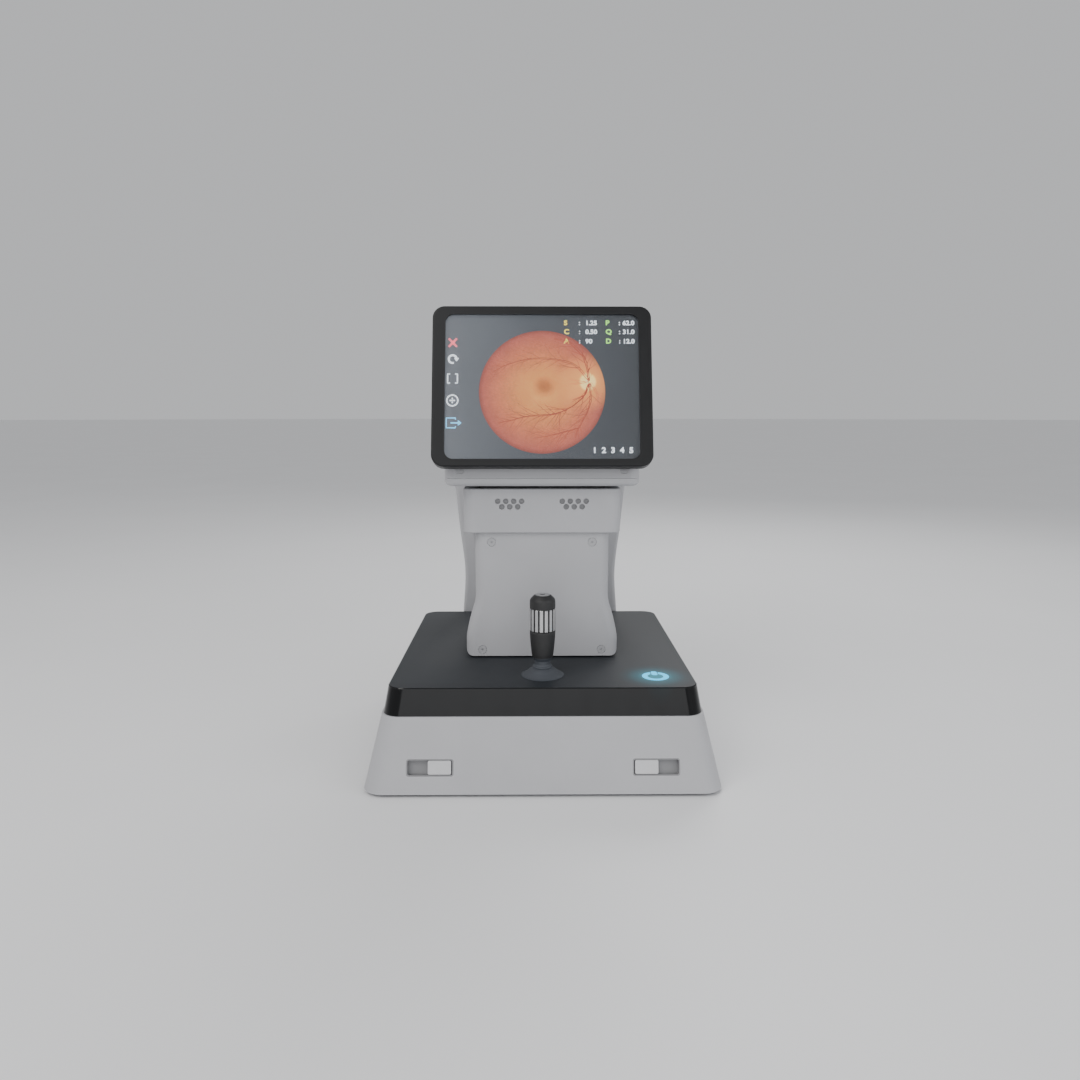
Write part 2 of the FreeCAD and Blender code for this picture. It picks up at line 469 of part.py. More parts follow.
export("z_lead_screw", cyl(LEAD_R, (0, ROD_Z_Y, 96), (0, 0, 1), 150))


def column_solid(off, z0, z1, r):
    """Waisted column: flared foot, straight above, rounded upright edges."""
    w0, w1 = COL_HW_FOOT - off, COL_HW - off
    y0, y1 = COL_Y0 + off, COL_Y1 - off
    def side(sx):
        c = Part.BSplineCurve()
        c.interpolate(Points=[V(sx * w0, y0, 106), V(sx * (w0 - 1.4), y0, 117), V(sx * (w1 + 3.6), y0, 134.6), V(sx * w1, y0, 153)],
                      InitialTangent=V(0, 0, 1), FinalTangent=V(0, 0, 1))
        return c
    zr = z0
    e = [Part.LineSegment(V(-w0, y0, zr), V(w0, y0, zr)).toShape(),
         Part.LineSegment(V(w0, y0, zr), V(w0, y0, 106)).toShape(),
         side(1).toShape(),
         Part.LineSegment(V(w1, y0, 153), V(w1, y0, z1)).toShape(),
         Part.LineSegment(V(w1, y0, z1), V(-w1, y0, z1)).toShape(),
         Part.LineSegment(V(-w1, y0, z1), V(-w1, y0, 153)).toShape()]
    s2 = side(-1)
    s2.reverse()
    e.append(s2.toShape())
    e.append(Part.LineSegment(V(-w0, y0, 106), V(-w0, y0, zr)).toShape())
    sol = Part.Face(Part.Wire(e)).extrude(V(0, y1 - y0, 0))
    def wanted(q):
        b = q.BoundBox
        flat = b.YLength < 1e-3
        level = b.ZLength < 1e-3
        return flat and not level
    try:
        f = sol.makeFillet(r, edges_where(sol, wanted))
        if f.isValid():
            return f
        print("column fillet invalid")
    except Exception as ex:
        print("column fillet failed", ex)
    return sol


col = column_solid(0, COL_Z0, COL_Z1, 9.0).cut(column_solid(2.5, COL_Z0 - 2, COL_Z1 + 2, 6.5))
# lower corners rounded as seen from the front
low = box(-COL_HW_FOOT - 1, COL_HW_FOOT + 1, COL_Y0 - 5, COL_Y1 + 5, COL_Z0 - 5, COL_Z0 + 6)
for sx in (-1, 1):
    low = low.cut(cyl(6.0, (sx * (COL_HW_FOOT - 6), COL_Y0 - 6, COL_Z0 + 6), (0, 1, 0), 110))
low = low.cut(box(-COL_HW_FOOT + 6, COL_HW_FOOT - 6, COL_Y0 - 6, COL_Y1 + 6, COL_Z0 - 6, COL_Z0 + 7))
col = col.cut(low)
front = col.common(box(-100, 100, 100, 149.8, 80, 230))
rear = col.common(box(-100, 100, 150.2, 220, 80, 230))
SCREWS = [(47.5, 202.5), (57.1, 97.8)]
for x, z in SCREWS:
    for sx in (-1, 1):
        front = front.cut(cyl(SCREW_R + 0.35, (sx * x, COL_Y0 - 1, z), (0, 1, 0), 2.7))
        front = front.cut(cyl(2.2, (sx * x, COL_Y0 - 1, z), (0, 1, 0), 6))
export("column_front_cover", front)
for i in range(6):
    rear = rear.cut(rbox(-30 + 12 * i - 2.5, -30 + 12 * i + 2.5, 190, 210, 120, 121, 0.4).fuse(
        box(-30 + 12 * i - 2, -30 + 12 * i + 2, 190, 210, 120, 150)))
export("column_rear_cover", rear)


def screw(r_head, head_t, r_shank, length):
    """Countersunk-flush screw along +y, head face at y = 0, hexagon socket."""
    s = cyl(r_head, (0, 0, 0), (0, 1, 0), head_t).fuse(cyl(r_shank, (0, head_t, 0), (0, 1, 0), length))
    hexa = [V(1.15 * math.cos(math.radians(60 * i)), -1, 1.15 * math.sin(math.radians(60 * i))) for i in range(6)]
    s = s.cut(Part.Face(Part.makePolygon(hexa + [hexa[0]])).extrude(V(0, 2.1, 0)))
    return s.removeSplitter()


sc = []
for x, z in SCREWS:
    for sx in (-1, 1):
        q = screw(SCREW_R, 1.6, 2.0, 10)
        q.translate(V(sx * x, COL_Y0 + 0.1, z))
        sc.append(q)
export("cover_screws", Part.makeCompound(sc))

vb = rbox(-VENT_HW, VENT_HW, VENT_Y0, VENT_Y1, COL_Z1, VENT_Z1, 10)
try:
    vb2 = vb.makeFillet(1.2, edges_where(vb, lambda q: q.BoundBox.ZLength < 1e-3))
    vb = vb2 if vb2.isValid() else vb
except Exception as ex:
    print("vent fillet failed", ex)
vb = vb.cut(rbox(-VENT_HW + 2.5, VENT_HW - 2.5, VENT_Y0 + 2.5, VENT_Y1 - 2.5, COL_Z1 + 2.5, VENT_Z1 - 2.5, 7.5))
vb = vb.cut(rbox(-61, 61, 117, 186, VENT_Z1 - 4, VENT_Z1 + 1, 4))
vb = vb.cut(rbox(-61, 61, 114.1, 200.5, COL_Z1 - 1, COL_Z1 + 4, 6.5))
for gx in (-30.1, 30.1):
    for z, n in ((241.6, 4), (236.4, 3)):
        for i in range(n):
            x = gx + (i - (n - 1) / 2) * 7.43
            vb = vb.cut(cyl(2.7, (x, VENT_Y0 - 1, z), (0, 1, 0), 6))
export("vent_box", vb)

# ----------------------------------------------------------------------- head
nk = box(-40, 40, 136, 146, 150, HEAD_Z0).fuse(box(-50, 50, 146, 180, 160, 205)).fuse(box(-40, 40, 128, 180, 250, HEAD_Z0))
for sx in (-1, 1):
    nk = nk.cut(cyl(ROD_Z_R + RUN, (sx * ROD_Z_X, ROD_Z_Y, 90), (0, 0, 1), 160))
nk = nk.cut(cyl(LEAD_R + 1, (0, ROD_Z_Y, 90), (0, 0, 1), 160))
export("neck_carriage", nk.removeSplitter())
export("z_actuator", box(-15, 15, 150, 180, 130, 160).cut(cyl(LEAD_R + RUN, (0, ROD_Z_Y, 90), (0, 0, 1), 100)))
sh = rbox(-60, 60, 118, 185, 215, HEAD_Z0, 3.5).cut(rbox(-58, 58, 120, 183, 214, HEAD_Z0 + 1, 1.5))
export("neck_shroud", sh)

tray2 = rbox(-HEAD_HW, HEAD_HW, 93.6, HEAD_Y1, HEAD_Z0, SEAM_Z - 0.3, 12)
try:
    t2 = tray2.makeFillet(5.0, edges_where(tray2, lambda q: q.BoundBox.ZLength < 1e-3 and q.BoundBox.ZMax < HEAD_Z0 + 1))
    tray2 = t2 if t2.isValid() else tray2
except Exception as ex:
    print("tray fillet failed", ex)
tray2 = tray2.cut(rbox(-HEAD_HW + 3, HEAD_HW - 3, 96.6, HEAD_Y1 - 3, HEAD_Z0 + 2.5, SEAM_Z + 1, 9))
tray2 = tray2.cut(rbox(-14, 14, 186, 214, HEAD_Z0 - 1, HEAD_Z0 + 5, 3))
export("head_tray", tray2)

sn, cs = math.sin(LEAN), math.cos(LEAN)
HC_T = 103.0                       # length of the sloping front before the chamfer
HY0 = 93.6
B = (HY0 + sn * HC_T, SEAM_Z + cs * HC_T)
C = (B[0] + (HEAD_TOP - B[1]), HEAD_TOP)
prof = [(HY0, SEAM_Z), B, C, (HEAD_Y1 - 14, HEAD_TOP), (HEAD_Y1, HEAD_TOP - 14), (HEAD_Y1, SEAM_Z)]


def offset_convex(pts, d):
    """Move each side of a convex outline inwards by d."""
    n = len(pts)
    area = sum(pts[i][0] * pts[(i + 1) % n][1] - pts[(i + 1) % n][0] * pts[i][1] for i in range(n))
    sg = 1 if area > 0 else -1
    lines = []
    for i in range(n):
        (x0, z0), (x1, z1) = pts[i], pts[(i + 1) % n]
        L = math.hypot(x1 - x0, z1 - z0)
        nx, nz = -sg * (z1 - z0) / L, sg * (x1 - x0) / L
        lines.append((x0 + nx * d, z0 + nz * d, (x1 - x0) / L, (z1 - z0) / L))
    out = []
    for i in range(n):
        x0, z0, dx0, dz0 = lines[i - 1]
        x1, z1, dx1, dz1 = lines[i]
        den = dx0 * dz1 - dz0 * dx1
        t = ((x1 - x0) * dz1 - (z1 - z0) * dx1) / den
        out.append((x0 + dx0 * t, z0 + dz0 * t))
    return out


hc = yz_prism(prof, -HEAD_HW, HEAD_HW)
def side_or_top(q):
    b = q.BoundBox
    if b.ZMax < SEAM_Z + 1:
        return False
    return True
for rr in (11.0, 8.0, 5.0):
    try:
        f = hc.makeFillet(rr, edges_where(hc, side_or_top))
        if f.isValid():
            hc = f
            print("head fillet", rr)
            break
    except Exception as ex:
        print("head fillet failed", rr, ex)
hc = hc.fuse(cyl(33, (0, HEAD_Y1 - 3, AXIS_Z), (0, 1, 0), NOSE_Y1 - HEAD_Y1 + 3))
ip = offset_convex(prof, 3.0)
ip = [(y, z if z > SEAM_Z + 10 else SEAM_Z - 1) for y, z in ip]
ip[0] = (HY0 + 3.0 / cs - (1.0) * sn / cs, SEAM_Z - 1)
hin = yz_prism(ip, -HEAD_HW + 3, HEAD_HW - 3)
try:
    f = hin.makeFillet(7.0, edges_where(hin, side_or_top))
    hin = f if f.isValid() else hin
except Exception as ex:
    print("head inner fillet failed", ex)
hc = hc.cut(hin).cut(cyl(25.5, (0, HEAD_Y1 - 10, AXIS_Z), (0, 1, 0), 40))


def at_head(x, z):
    """Placement on the head's sloping front: screws point into the head."""
    t = (z - SEAM_Z) / cs
    return FreeCAD.Matrix(1, 0, 0, x,
                          0, cs, sn, HY0 + sn * t,
                          0, -sn, cs, z,
                          0, 0, 0, 1)


hs = []
for sx in (-1, 1):
    m = at_head(sx * 75.0, 271.8)
    hc = hc.cut(place(cyl(SCREW_R + 0.35, (0, -2, 0), (0, 1, 0), 3.7).fuse(cyl(2.2, (0, 0, 0), (0, 1, 0), 6)), m))
    hs.append(place(screw(SCREW_R, 1.6, 2.0, 8), m))
export("head_cover", hc.removeSplitter())
export("head_screws", Part.makeCompound(hs))

# optical bench inside the head, objective, lens and camera
ob = box(-50, 50, 130, 232, HEAD_Z0 + 2.5, HEAD_Z0 + 8.5)
ob = ob.fuse(box(-34, 34, 196, 206, HEAD_Z0 + 8.5, AXIS_Z + 30)).fuse(box(-28, 28, 150, 160, HEAD_Z0 + 8.5, AXIS_Z + 22))
ob = ob.cut(cyl(25.0, (0, 190, AXIS_Z), (0, 1, 0), 20)).cut(cyl(15.0, (0, 140, AXIS_Z), (0, 1, 0), 25))
export("optical_bench", ob.removeSplitter())
barrel = cyl(25.0, (0, 190, AXIS_Z), (0, 1, 0), 74).cut(cyl(22.0, (0, 189, AXIS_Z), (0, 1, 0), 76))
barrel = barrel.fuse(cyl(22.0, (0, 190, AXIS_Z), (0, 1, 0), 3).cut(cyl(13, (0, 189, AXIS_Z), (0, 1, 0), 6)))
export("objective_barrel", barrel.removeSplitter())
LENS_R = 60.0
l1 = Part.makeSphere(LENS_R, V(0, 258 - LENS_R + 1.0, AXIS_Z)).common(cyl(22.0, (0, 246, AXIS_Z), (0, 1, 0), 20))
l1 = l1.cut(box(-40, 40, 230, 250, AXIS_Z - 40, AXIS_Z + 40))
export("objective_lens", l1)
cam = box(-24, 24, 161, 178, AXIS_Z - 24, AXIS_Z + 24).cut(box(-21, 21, 160, 162, AXIS_Z - 21, AXIS_Z + 21))
cam = cam.fuse(cyl(14.0, (0, 178, AXIS_Z), (0, 1, 0), 11)).cut(cyl(11.0, (0, 180, AXIS_Z), (0, 1, 0), 12))
cam = cam.fuse(box(-10, 10, 160, 161, AXIS_Z - 24, AXIS_Z - 16)).removeSplitter()
export("camera_module", cam)

# monitor hinge: brackets stand on the head's chamfer, arms on the monitor
def mon_yz(s, d):
    return (MON_OY + s * sn + d * cs, MON_OZ + s * cs - d * sn)


ay, az = mon_yz(HINGE_S, HINGE_D)
k = math.sqrt(0.5)
dist = ((ay - B[0]) * (-k) + (az - B[1]) * k)
print("hinge axis y=%.3f z=%.3f, %.2f from the chamfer" % (ay, az, dist))
F = (ay + k * dist, az - k * dist)
br = []
for sx in (-1, 1):
    x0, x1 = sorted((sx * 47.5, sx * 53.5))
    pl = yz_prism([(F[0] - 10 * k, F[1] - 10 * k), (F[0] + 10 * k, F[1] + 10 * k), (ay + 6 * k, az + 6 * k), (ay - 6 * k, az - 6 * k)], x0, x1)
    pl = pl.fuse(cyl(6.0, (x0, ay, az), (1, 0, 0), x1 - x0)).cut(cyl(3.0 + RUN, (x0 - 1, ay, az), (1, 0, 0), 8))
    br.append(pl.removeSplitter())
export("hinge_brackets", Part.makeCompound(br))

# --------------------------------------------------------------------- monitor
M = at_monitor()
sc_c = (SCR_S0 + SCR_S1) / 2
bez = rbox(-MON_W / 2, MON_W / 2, MON_S0, MON_S1, -9, 0, 11)
try:
    f = bez.makeFillet(1.6, edges_where(bez, lambda q: q.BoundBox.ZLength < 1e-3 and q.BoundBox.ZMax > -1))
    bez = f if f.isValid() else bez
except Exception as ex:
    print("bezel fillet failed", ex)
bez = bez.cut(rbox(-SCR_W / 2, SCR_W / 2, SCR_S0, SCR_S1, -10, 1, 8))
bez = bez.cut(rbox(-SCR_W / 2 - 3.5, SCR_W / 2 + 3.5, SCR_S0 - 3.2, SCR_S1 + 3.2, -10, -2, 8))
export("monitor_bezel", place(bez, M))
export("touch_glass", place(rbox(-SCR_W / 2 - 3.3, SCR_W / 2 + 3.3, SCR_S0 - 3.0, SCR_S1 + 3.0, -3.5, -2, 7.5), M))
export("lcd_module", place(rbox(-SCR_W / 2 - 2, SCR_W / 2 + 2, SCR_S0 - 2, SCR_S1 + 2, -9, -3.5, 4), M))
bk = rbox(-MON_W / 2, MON_W / 2, MON_S0, MON_S1, -MON_T, -9, 11)
try:
    f = bk.makeFillet(3.5, edges_where(bk, lambda q: q.BoundBox.ZLength < 1e-3 and q.BoundBox.ZMax < -MON_T + 1))
    bk = f if f.isValid() else bk
except Exception as ex:
    print("monitor back fillet failed", ex)
bk = bk.cut(rbox(-MON_W / 2 + 5, MON_W / 2 - 5, MON_S0 + 5, MON_S1 - 5, -MON_T + 2, -8, 8))
for i in range(12):
    bk = bk.cut(box(-66 + 12 * i - 4, -66 + 12 * i + 4, 22, 25, -16, -12))
export("monitor_back", place(bk, M))
arms = []
for sx in (-1, 1):
    x0, x1 = sorted((sx * 38.0, sx * 46.9))
    a = box(x0, x1, HINGE_S - 8, HINGE_S + 6, -HINGE_D, -MON_T).fuse(
        Part.makeCylinder(6.0, x1 - x0, V(x0, HINGE_S, -HINGE_D), V(1, 0, 0)))
    p0, p1 = sorted((sx * 40.0, sx * 54.5))
    a = a.fuse(Part.makeCylinder(3.0, p1 - p0, V(p0, HINGE_S, -HINGE_D), V(1, 0, 0)))
    arms.append(place(a.removeSplitter(), M))
export("hinge_arms", Part.makeCompound(arms))
print(len(NODES), "nodes")
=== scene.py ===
import bpy, bmesh, math, random
from mathutils import Vector, Matrix


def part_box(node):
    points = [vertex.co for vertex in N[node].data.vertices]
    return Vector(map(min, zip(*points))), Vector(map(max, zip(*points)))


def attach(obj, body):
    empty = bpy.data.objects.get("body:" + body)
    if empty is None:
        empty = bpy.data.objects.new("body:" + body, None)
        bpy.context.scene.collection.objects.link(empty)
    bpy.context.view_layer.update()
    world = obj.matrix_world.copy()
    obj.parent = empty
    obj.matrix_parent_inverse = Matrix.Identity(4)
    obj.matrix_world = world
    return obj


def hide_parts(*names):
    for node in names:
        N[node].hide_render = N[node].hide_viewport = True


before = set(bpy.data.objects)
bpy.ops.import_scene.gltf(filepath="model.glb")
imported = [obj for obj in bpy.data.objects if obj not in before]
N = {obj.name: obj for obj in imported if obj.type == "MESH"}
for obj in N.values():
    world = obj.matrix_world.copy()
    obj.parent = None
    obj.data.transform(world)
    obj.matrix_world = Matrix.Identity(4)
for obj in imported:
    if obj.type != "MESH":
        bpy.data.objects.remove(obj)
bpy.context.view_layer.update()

# ------------------------------------------------------------ small helpers
OY = 0.190                       # the base's front edge is at y = -OY
LEAN = math.radians(15.5)
SN, CS = math.sin(LEAN), math.cos(LEAN)
JX, JY = 0.0, 0.0578 - OY        # joystick axis
AX_Z = 0.342                     # optical axis height


def link(o):
    bpy.context.scene.collection.objects.link(o)
    return o


def mesh_obj(name, verts, faces, mat=None, smooth=False):
    me = bpy.data.meshes.new(name)
    me.from_pydata([tuple(v) for v in verts], [], faces)
    me.validate()
    me.update()
    if smooth:
        for p in me.polygons:
            p.use_smooth = True
    o = link(bpy.data.objects.new(name, me))
    if mat:
        me.materials.append(mat)
    return o


def mon(x, s, out):
    """Point on the monitor: x right, s up the screen, out of the glass (m)."""
    return Vector((x, 0.0756 - OY + s * SN - out * CS, 0.2741 + s * CS + out * SN))


def extrude_outline(pts, to3d, d0, d1):
    """Verts and faces of a plate from a closed 2-D outline."""
    n = len(pts)
    v = [to3d(p[0], p[1], d0) for p in pts] + [to3d(p[0], p[1], d1) for p in pts]
    f = [list(range(n))[::-1], list(range(n, 2 * n))]
    for i in range(n):
        j = (i + 1) % n
        f.append([i, j, n + j, n + i])
    return v, f


def rrect_pts(x0, x1, y0, y1, r, k=8):
    out = []
    for cx, cy, a in ((x1 - r, y1 - r, 0), (x0 + r, y1 - r, 90), (x0 + r, y0 + r, 180), (x1 - r, y0 + r, 270)):
        for i in range(k + 1):
            t = math.radians(a + 90.0 * i / k)
            out.append((cx + r * math.cos(t), cy + r * math.sin(t)))
    return out


# ---------------------------------------------------------------- materials
def new_mat(name):
    m = bpy.data.materials.new(name)
    m.use_nodes = True
    nt = m.node_tree
    b = nt.nodes["Principled BSDF"]
    return m, nt, b


def coords(nt, scale=1.0):
    tc = nt.nodes.new("ShaderNodeTexCoord")
    mp = nt.nodes.new("ShaderNodeMapping")
    mp.inputs["Scale"].default_value = (scale,) * 3 if not isinstance(scale, tuple) else scale
    nt.links.new(tc.outputs["Object"], mp.inputs["Vector"])
    return mp.outputs["Vector"]


def noise(nt, vec, scale, detail=4.0, rough=0.55):
    n = nt.nodes.new("ShaderNodeTexNoise")
    n.inputs["Scale"].default_value = scale
    n.inputs["Detail"].default_value = detail
    n.inputs["Roughness"].default_value = rough
    nt.links.new(vec, n.inputs["Vector"])
    return n.outputs["Fac"]


def ramp(nt, fac, stops):
    r = nt.nodes.new("ShaderNodeValToRGB")
    e = r.color_ramp.elements
    e[0].position, e[0].color = stops[0][0], (*stops[0][1], 1)
    e[1].position, e[1].color = stops[-1][0], (*stops[-1][1], 1)
    for p, c in stops[1:-1]:
        q = e.new(p)
        q.color = (*c, 1)
    nt.links.new(fac, r.inputs["Fac"])
    return r.outputs["Color"]


def remap(nt, fac, lo, hi, a=0.3, b=0.7):
    m = nt.nodes.new("ShaderNodeMapRange")
    m.inputs["From Min"].default_value = a
    m.inputs["From Max"].default_value = b
    m.inputs["To Min"].default_value = lo
    m.inputs["To Max"].default_value = hi
    nt.links.new(fac, m.inputs["Value"])
    return m.outputs["Result"]


def bump(nt, b, h, strength, dist):
    n = nt.nodes.new("ShaderNodeBump")
    n.inputs["Strength"].default_value = strength
    n.inputs["Distance"].default_value = dist
    nt.links.new(h, n.inputs["Height"])
    nt.links.new(n.outputs["Normal"], b.inputs["Normal"])
    return n


def mixc(nt, fac, a, c, mode="MIX"):
    m = nt.nodes.new("ShaderNodeMix")
    m.data_type = "RGBA"
    m.blend_type = mode
    for s, v in ((m.inputs[0], fac), (m.inputs[6], a), (m.inputs[7], c)):
        if isinstance(v, (int, float)):
            s.default_value = v
        elif isinstance(v, tuple):
            s.default_value = (*v, 1) if len(v) == 3 else v
        else:
            nt.links.new(v, s)
    return m.outputs[2]


def edges(nt, radius=0.0007):
    """1 on sharp edges, 0 on flats and wide roundings."""
    g = nt.nodes.new("ShaderNodeNewGeometry")
    bv = nt.nodes.new("ShaderNodeBevel")
    bv.samples = 4
    bv.inputs["Radius"].default_value = radius
    d = nt.nodes.new("ShaderNodeVectorMath")
    d.operation = "DOT_PRODUCT"
    nt.links.new(bv.outputs["Normal"], d.inputs[0])
    nt.links.new(g.outputs["Normal"], d.inputs[1])
    return remap(nt, d.outputs["Value"], 1.0, 0.0, 0.86, 0.99)


def plastic(name, col, rough=0.42, var=0.05, grain=2600.0, grain_s=0.10, wear=0.10, coat=0.0, spec=0.5):
    """Moulded plastic: spark-eroded grain, slight tone drift, polished edges."""
    m, nt, b = new_mat(name)
    v = coords(nt)
    big = noise(nt, v, 14.0, 3.0)
    fine = noise(nt, v, grain, 2.0, 0.6)
    mid = noise(nt, v, 160.0, 4.0)
    lo = tuple(c * (1 - var) for c in col)
    hi = tuple(min(1, c * (1 + var)) for c in col)
    base = ramp(nt, big, [(0.3, lo), (0.7, hi)])
    speck = ramp(nt, fine, [(0.25, (0.90,) * 3), (0.75, (1.0,) * 3)])
    base = mixc(nt, 1.0, base, speck, "MULTIPLY")
    light = tuple(min(1, c * (1 + 2.2 * wear) + 0.02 * wear) for c in col)
    base = mixc(nt, edges(nt), base, light)
    nt.links.new(base, b.inputs["Base Color"])
    nt.links.new(remap(nt, mid, rough - 0.05, rough + 0.07), b.inputs["Roughness"])
    b.inputs["Specular IOR Level"].default_value = spec
    b.inputs["Coat Weight"].default_value = coat
    b.inputs["Coat Roughness"].default_value = 0.12
    bump(nt, b, fine, grain_s, 0.00006)
    return m


def gloss(name, col, rough=0.05, coat=0.6, spec=0.5):
    """Polished black moulding: faint orange peel, dust and wiping marks."""
    m, nt, b = new_mat(name)
    v = coords(nt)
    peel = noise(nt, v, 55.0, 2.0, 0.4)
    smear = noise(nt, coords(nt, (30.0, 5.0, 12.0)), 1.6, 5.0, 0.6)
    dust = noise(nt, v, 900.0, 2.0, 0.5)
    base = ramp(nt, dust, [(0.0, col), (0.70, col), (0.80, tuple(c + 0.02 for c in col))])
    base = mixc(nt, edges(nt), base, tuple(c + 0.05 for c in col))
    nt.links.new(base, b.inputs["Base Color"])
    nt.links.new(remap(nt, smear, rough, rough + 0.11, 0.35, 0.75), b.inputs["Roughness"])
    b.inputs["Coat Weight"].default_value = coat
    b.inputs["Specular IOR Level"].default_value = spec
    b.inputs["Coat Roughness"].default_value = 0.06
    bump(nt, b, peel, 0.05, 0.0006)
    return m


def metal(name, col, rough=0.3, axis=(1, 1, 1), brush=900.0, strength=0.12):
    m, nt, b = new_mat(name)
    v = coords(nt, axis)
    n = noise(nt, v, brush, 3.0, 0.6)
    big = noise(nt, coords(nt), 40.0, 3.0)
    nt.links.new(ramp(nt, big, [(0.3, tuple(c * 0.88 for c in col)), (0.7, col)]), b.inputs["Base Color"])
    nt.links.new(remap(nt, n, rough - 0.08, rough + 0.1), b.inputs["Roughness"])
    b.inputs["Metallic"].default_value = 1.0
    bump(nt, b, n, strength, 0.00004)
    return m


def rubber(name, col, rough=0.7):
    m, nt, b = new_mat(name)
    v = coords(nt)
    n = noise(nt, v, 1500.0, 3.0, 0.6)
    d = noise(nt, v, 60.0, 4.0)
    nt.links.new(ramp(nt, d, [(0.35, col), (0.75, tuple(c * 1.6 + 0.01 for c in col))]), b.inputs["Base Color"])
    nt.links.new(remap(nt, n, rough - 0.1, rough + 0.12), b.inputs["Roughness"])
    bump(nt, b, n, 0.3, 0.00012)
    return m


def glow(name, col, strength, rough=0.25, vary=0.1):
    """Lit translucent plastic: brighter in the middle of its grain."""
    m, nt, b = new_mat(name)
    n = noise(nt, coords(nt), 300.0, 2.0)
    c = ramp(nt, n, [(0.3, tuple(x * (1 - vary) for x in col)), (0.7, col)])
    nt.links.new(c, b.inputs["Base Color"])
    nt.links.new(c, b.inputs["Emission Color"])
    b.inputs["Emission Strength"].default_value = strength
    b.inputs["Roughness"].default_value = rough
    return m


def radial(nt, cx, cy, r0, r1):
    """0 inside r0, 1 outside r1 of a vertical axis."""
    tc = nt.nodes.new("ShaderNodeTexCoord")
    sep = nt.nodes.new("ShaderNodeSeparateXYZ")
    nt.links.new(tc.outputs["Object"], sep.inputs[0])
    def mth(op, a, c=None):
        q = nt.nodes.new("ShaderNodeMath")
        q.operation = op
        for i, t in enumerate((a, c)):
            if t is None:
                continue
            if isinstance(t, (int, float)):
                q.inputs[i].default_value = t
            else:
                nt.links.new(t, q.inputs[i])
        return q.outputs[0]
    dx = mth("SUBTRACT", sep.outputs[0], cx)
    dy = mth("SUBTRACT", sep.outputs[1], cy)
    r = mth("SQRT", mth("ADD", mth("MULTIPLY", dx, dx), mth("MULTIPLY", dy, dy)))
    return remap(nt, r, 0.0, 1.0, r0, r1)


def ribs_metal(name, r0, r1, cx, cy):
    """Satin aluminium on the ribs' crests, black in the grooves below them."""
    m, nt, b = new_mat(name)
    f = radial(nt, cx, cy, r0, r1)
    n = noise(nt, coords(nt, (1, 1, 22)), 420.0, 3.0, 0.6)
    nt.links.new(mixc(nt, f, (0.012, 0.012, 0.013), (0.50, 0.50, 0.505)), b.inputs["Base Color"])
    nt.links.new(f, b.inputs["Metallic"])
    nt.links.new(remap(nt, n, 0.24, 0.42), b.inputs["Roughness"])
    bump(nt, b, n, 0.1, 0.00003)
    return m


SHELL = plastic("shell_light_grey", (0.43, 0.43, 0.445), rough=0.44, var=0.035, wear=0.12)
SHELL2 = plastic("column_light_grey", (0.41, 0.41, 0.425), rough=0.47, var=0.035, wear=0.12)
CHAR = plastic("bezel_charcoal", (0.0085, 0.0087, 0.0095), rough=0.42, var=0.12, grain=3200, grain_s=0.16, wear=0.5, spec=0.3)
BLK = plastic("black_moulding", (0.012, 0.012, 0.013), rough=0.46, var=0.15, grain=3000, grain_s=0.2, wear=0.6)
GRIP = plastic("grip_soft_black", (0.013, 0.013, 0.0135), rough=0.52, var=0.2, grain=2400, grain_s=0.45, wear=0.9)
def cap_mat():
    """Satin top plate with polished sides; the top is painted lighter and the sides near-black, as painted
    reflection, and a painted cyan glow round the power sign stands in for its light on the plastic.
    """
    m, nt, b = new_mat("cap_satin_gloss_with_painted_light")
    v = coords(nt)
    g = nt.nodes.new("ShaderNodeNewGeometry")
    sep = nt.nodes.new("ShaderNodeSeparateXYZ")
    nt.links.new(g.outputs["Normal"], sep.inputs[0])
    # 1 on upward faces: picks the painted lighter top and painted darker sides (painted reflection) as well as the
    #                    two finishes' roughness
    top = remap(nt, sep.outputs[2], 0.0, 1.0, 0.80, 0.97)
    dust = noise(nt, v, 900.0, 2.0, 0.5)
    fine = noise(nt, v, 2600.0, 2.0, 0.6)
    big = noise(nt, v, 11.0, 3.0)
    smear = noise(nt, coords(nt, (30.0, 5.0, 12.0)), 1.6, 5.0, 0.6)
    # painted reflection: top tone painted lighter, side tone painted near-black; the side's lighter specks are dust
    top_tone_with_painted_light = ramp(nt, big, [(0.3, (0.0175, 0.0205, 0.0245)), (0.7, (0.0205, 0.0238, 0.028))])
    side = ramp(nt, dust, [(0.0, (0.0024, 0.0025, 0.003)), (0.70, (0.0024, 0.0025, 0.003)), (0.82, (0.008, 0.008, 0.009))])
    base = mixc(nt, top, side, top_tone_with_painted_light)
    base = mixc(nt, edges(nt, 0.0005), base, (0.055, 0.058, 0.064))
    nt.links.new(base, b.inputs["Base Color"])
    rs = remap(nt, smear, 0.10, 0.20, 0.35, 0.75)
    rt = remap(nt, fine, 0.44, 0.56)
    nt.links.new(mixc(nt, top, rs, rt), b.inputs["Roughness"])
    b.inputs["Specular IOR Level"].default_value = 0.28
    # painted light: cyan glow painted into the cap's emission, fading with distance from the power sign
    far = radial(nt, 0.101, -0.1383, 0.006, 0.034)
    painted_sign_glow = ramp(nt, far, [(0.0, (1, 1, 1)), (0.35, (0.30, 0.30, 0.30)), (0.7, (0.06, 0.06, 0.06)), (1.0, (0, 0, 0))])
    nt.links.new(mixc(nt, painted_sign_glow, (0.0, 0.0, 0.0), (0.0, 0.46, 0.62)), b.inputs["Emission Color"])
    b.inputs["Emission Strength"].default_value = 0.55
    bump(nt, b, fine, 0.06, 0.00005)
    return m


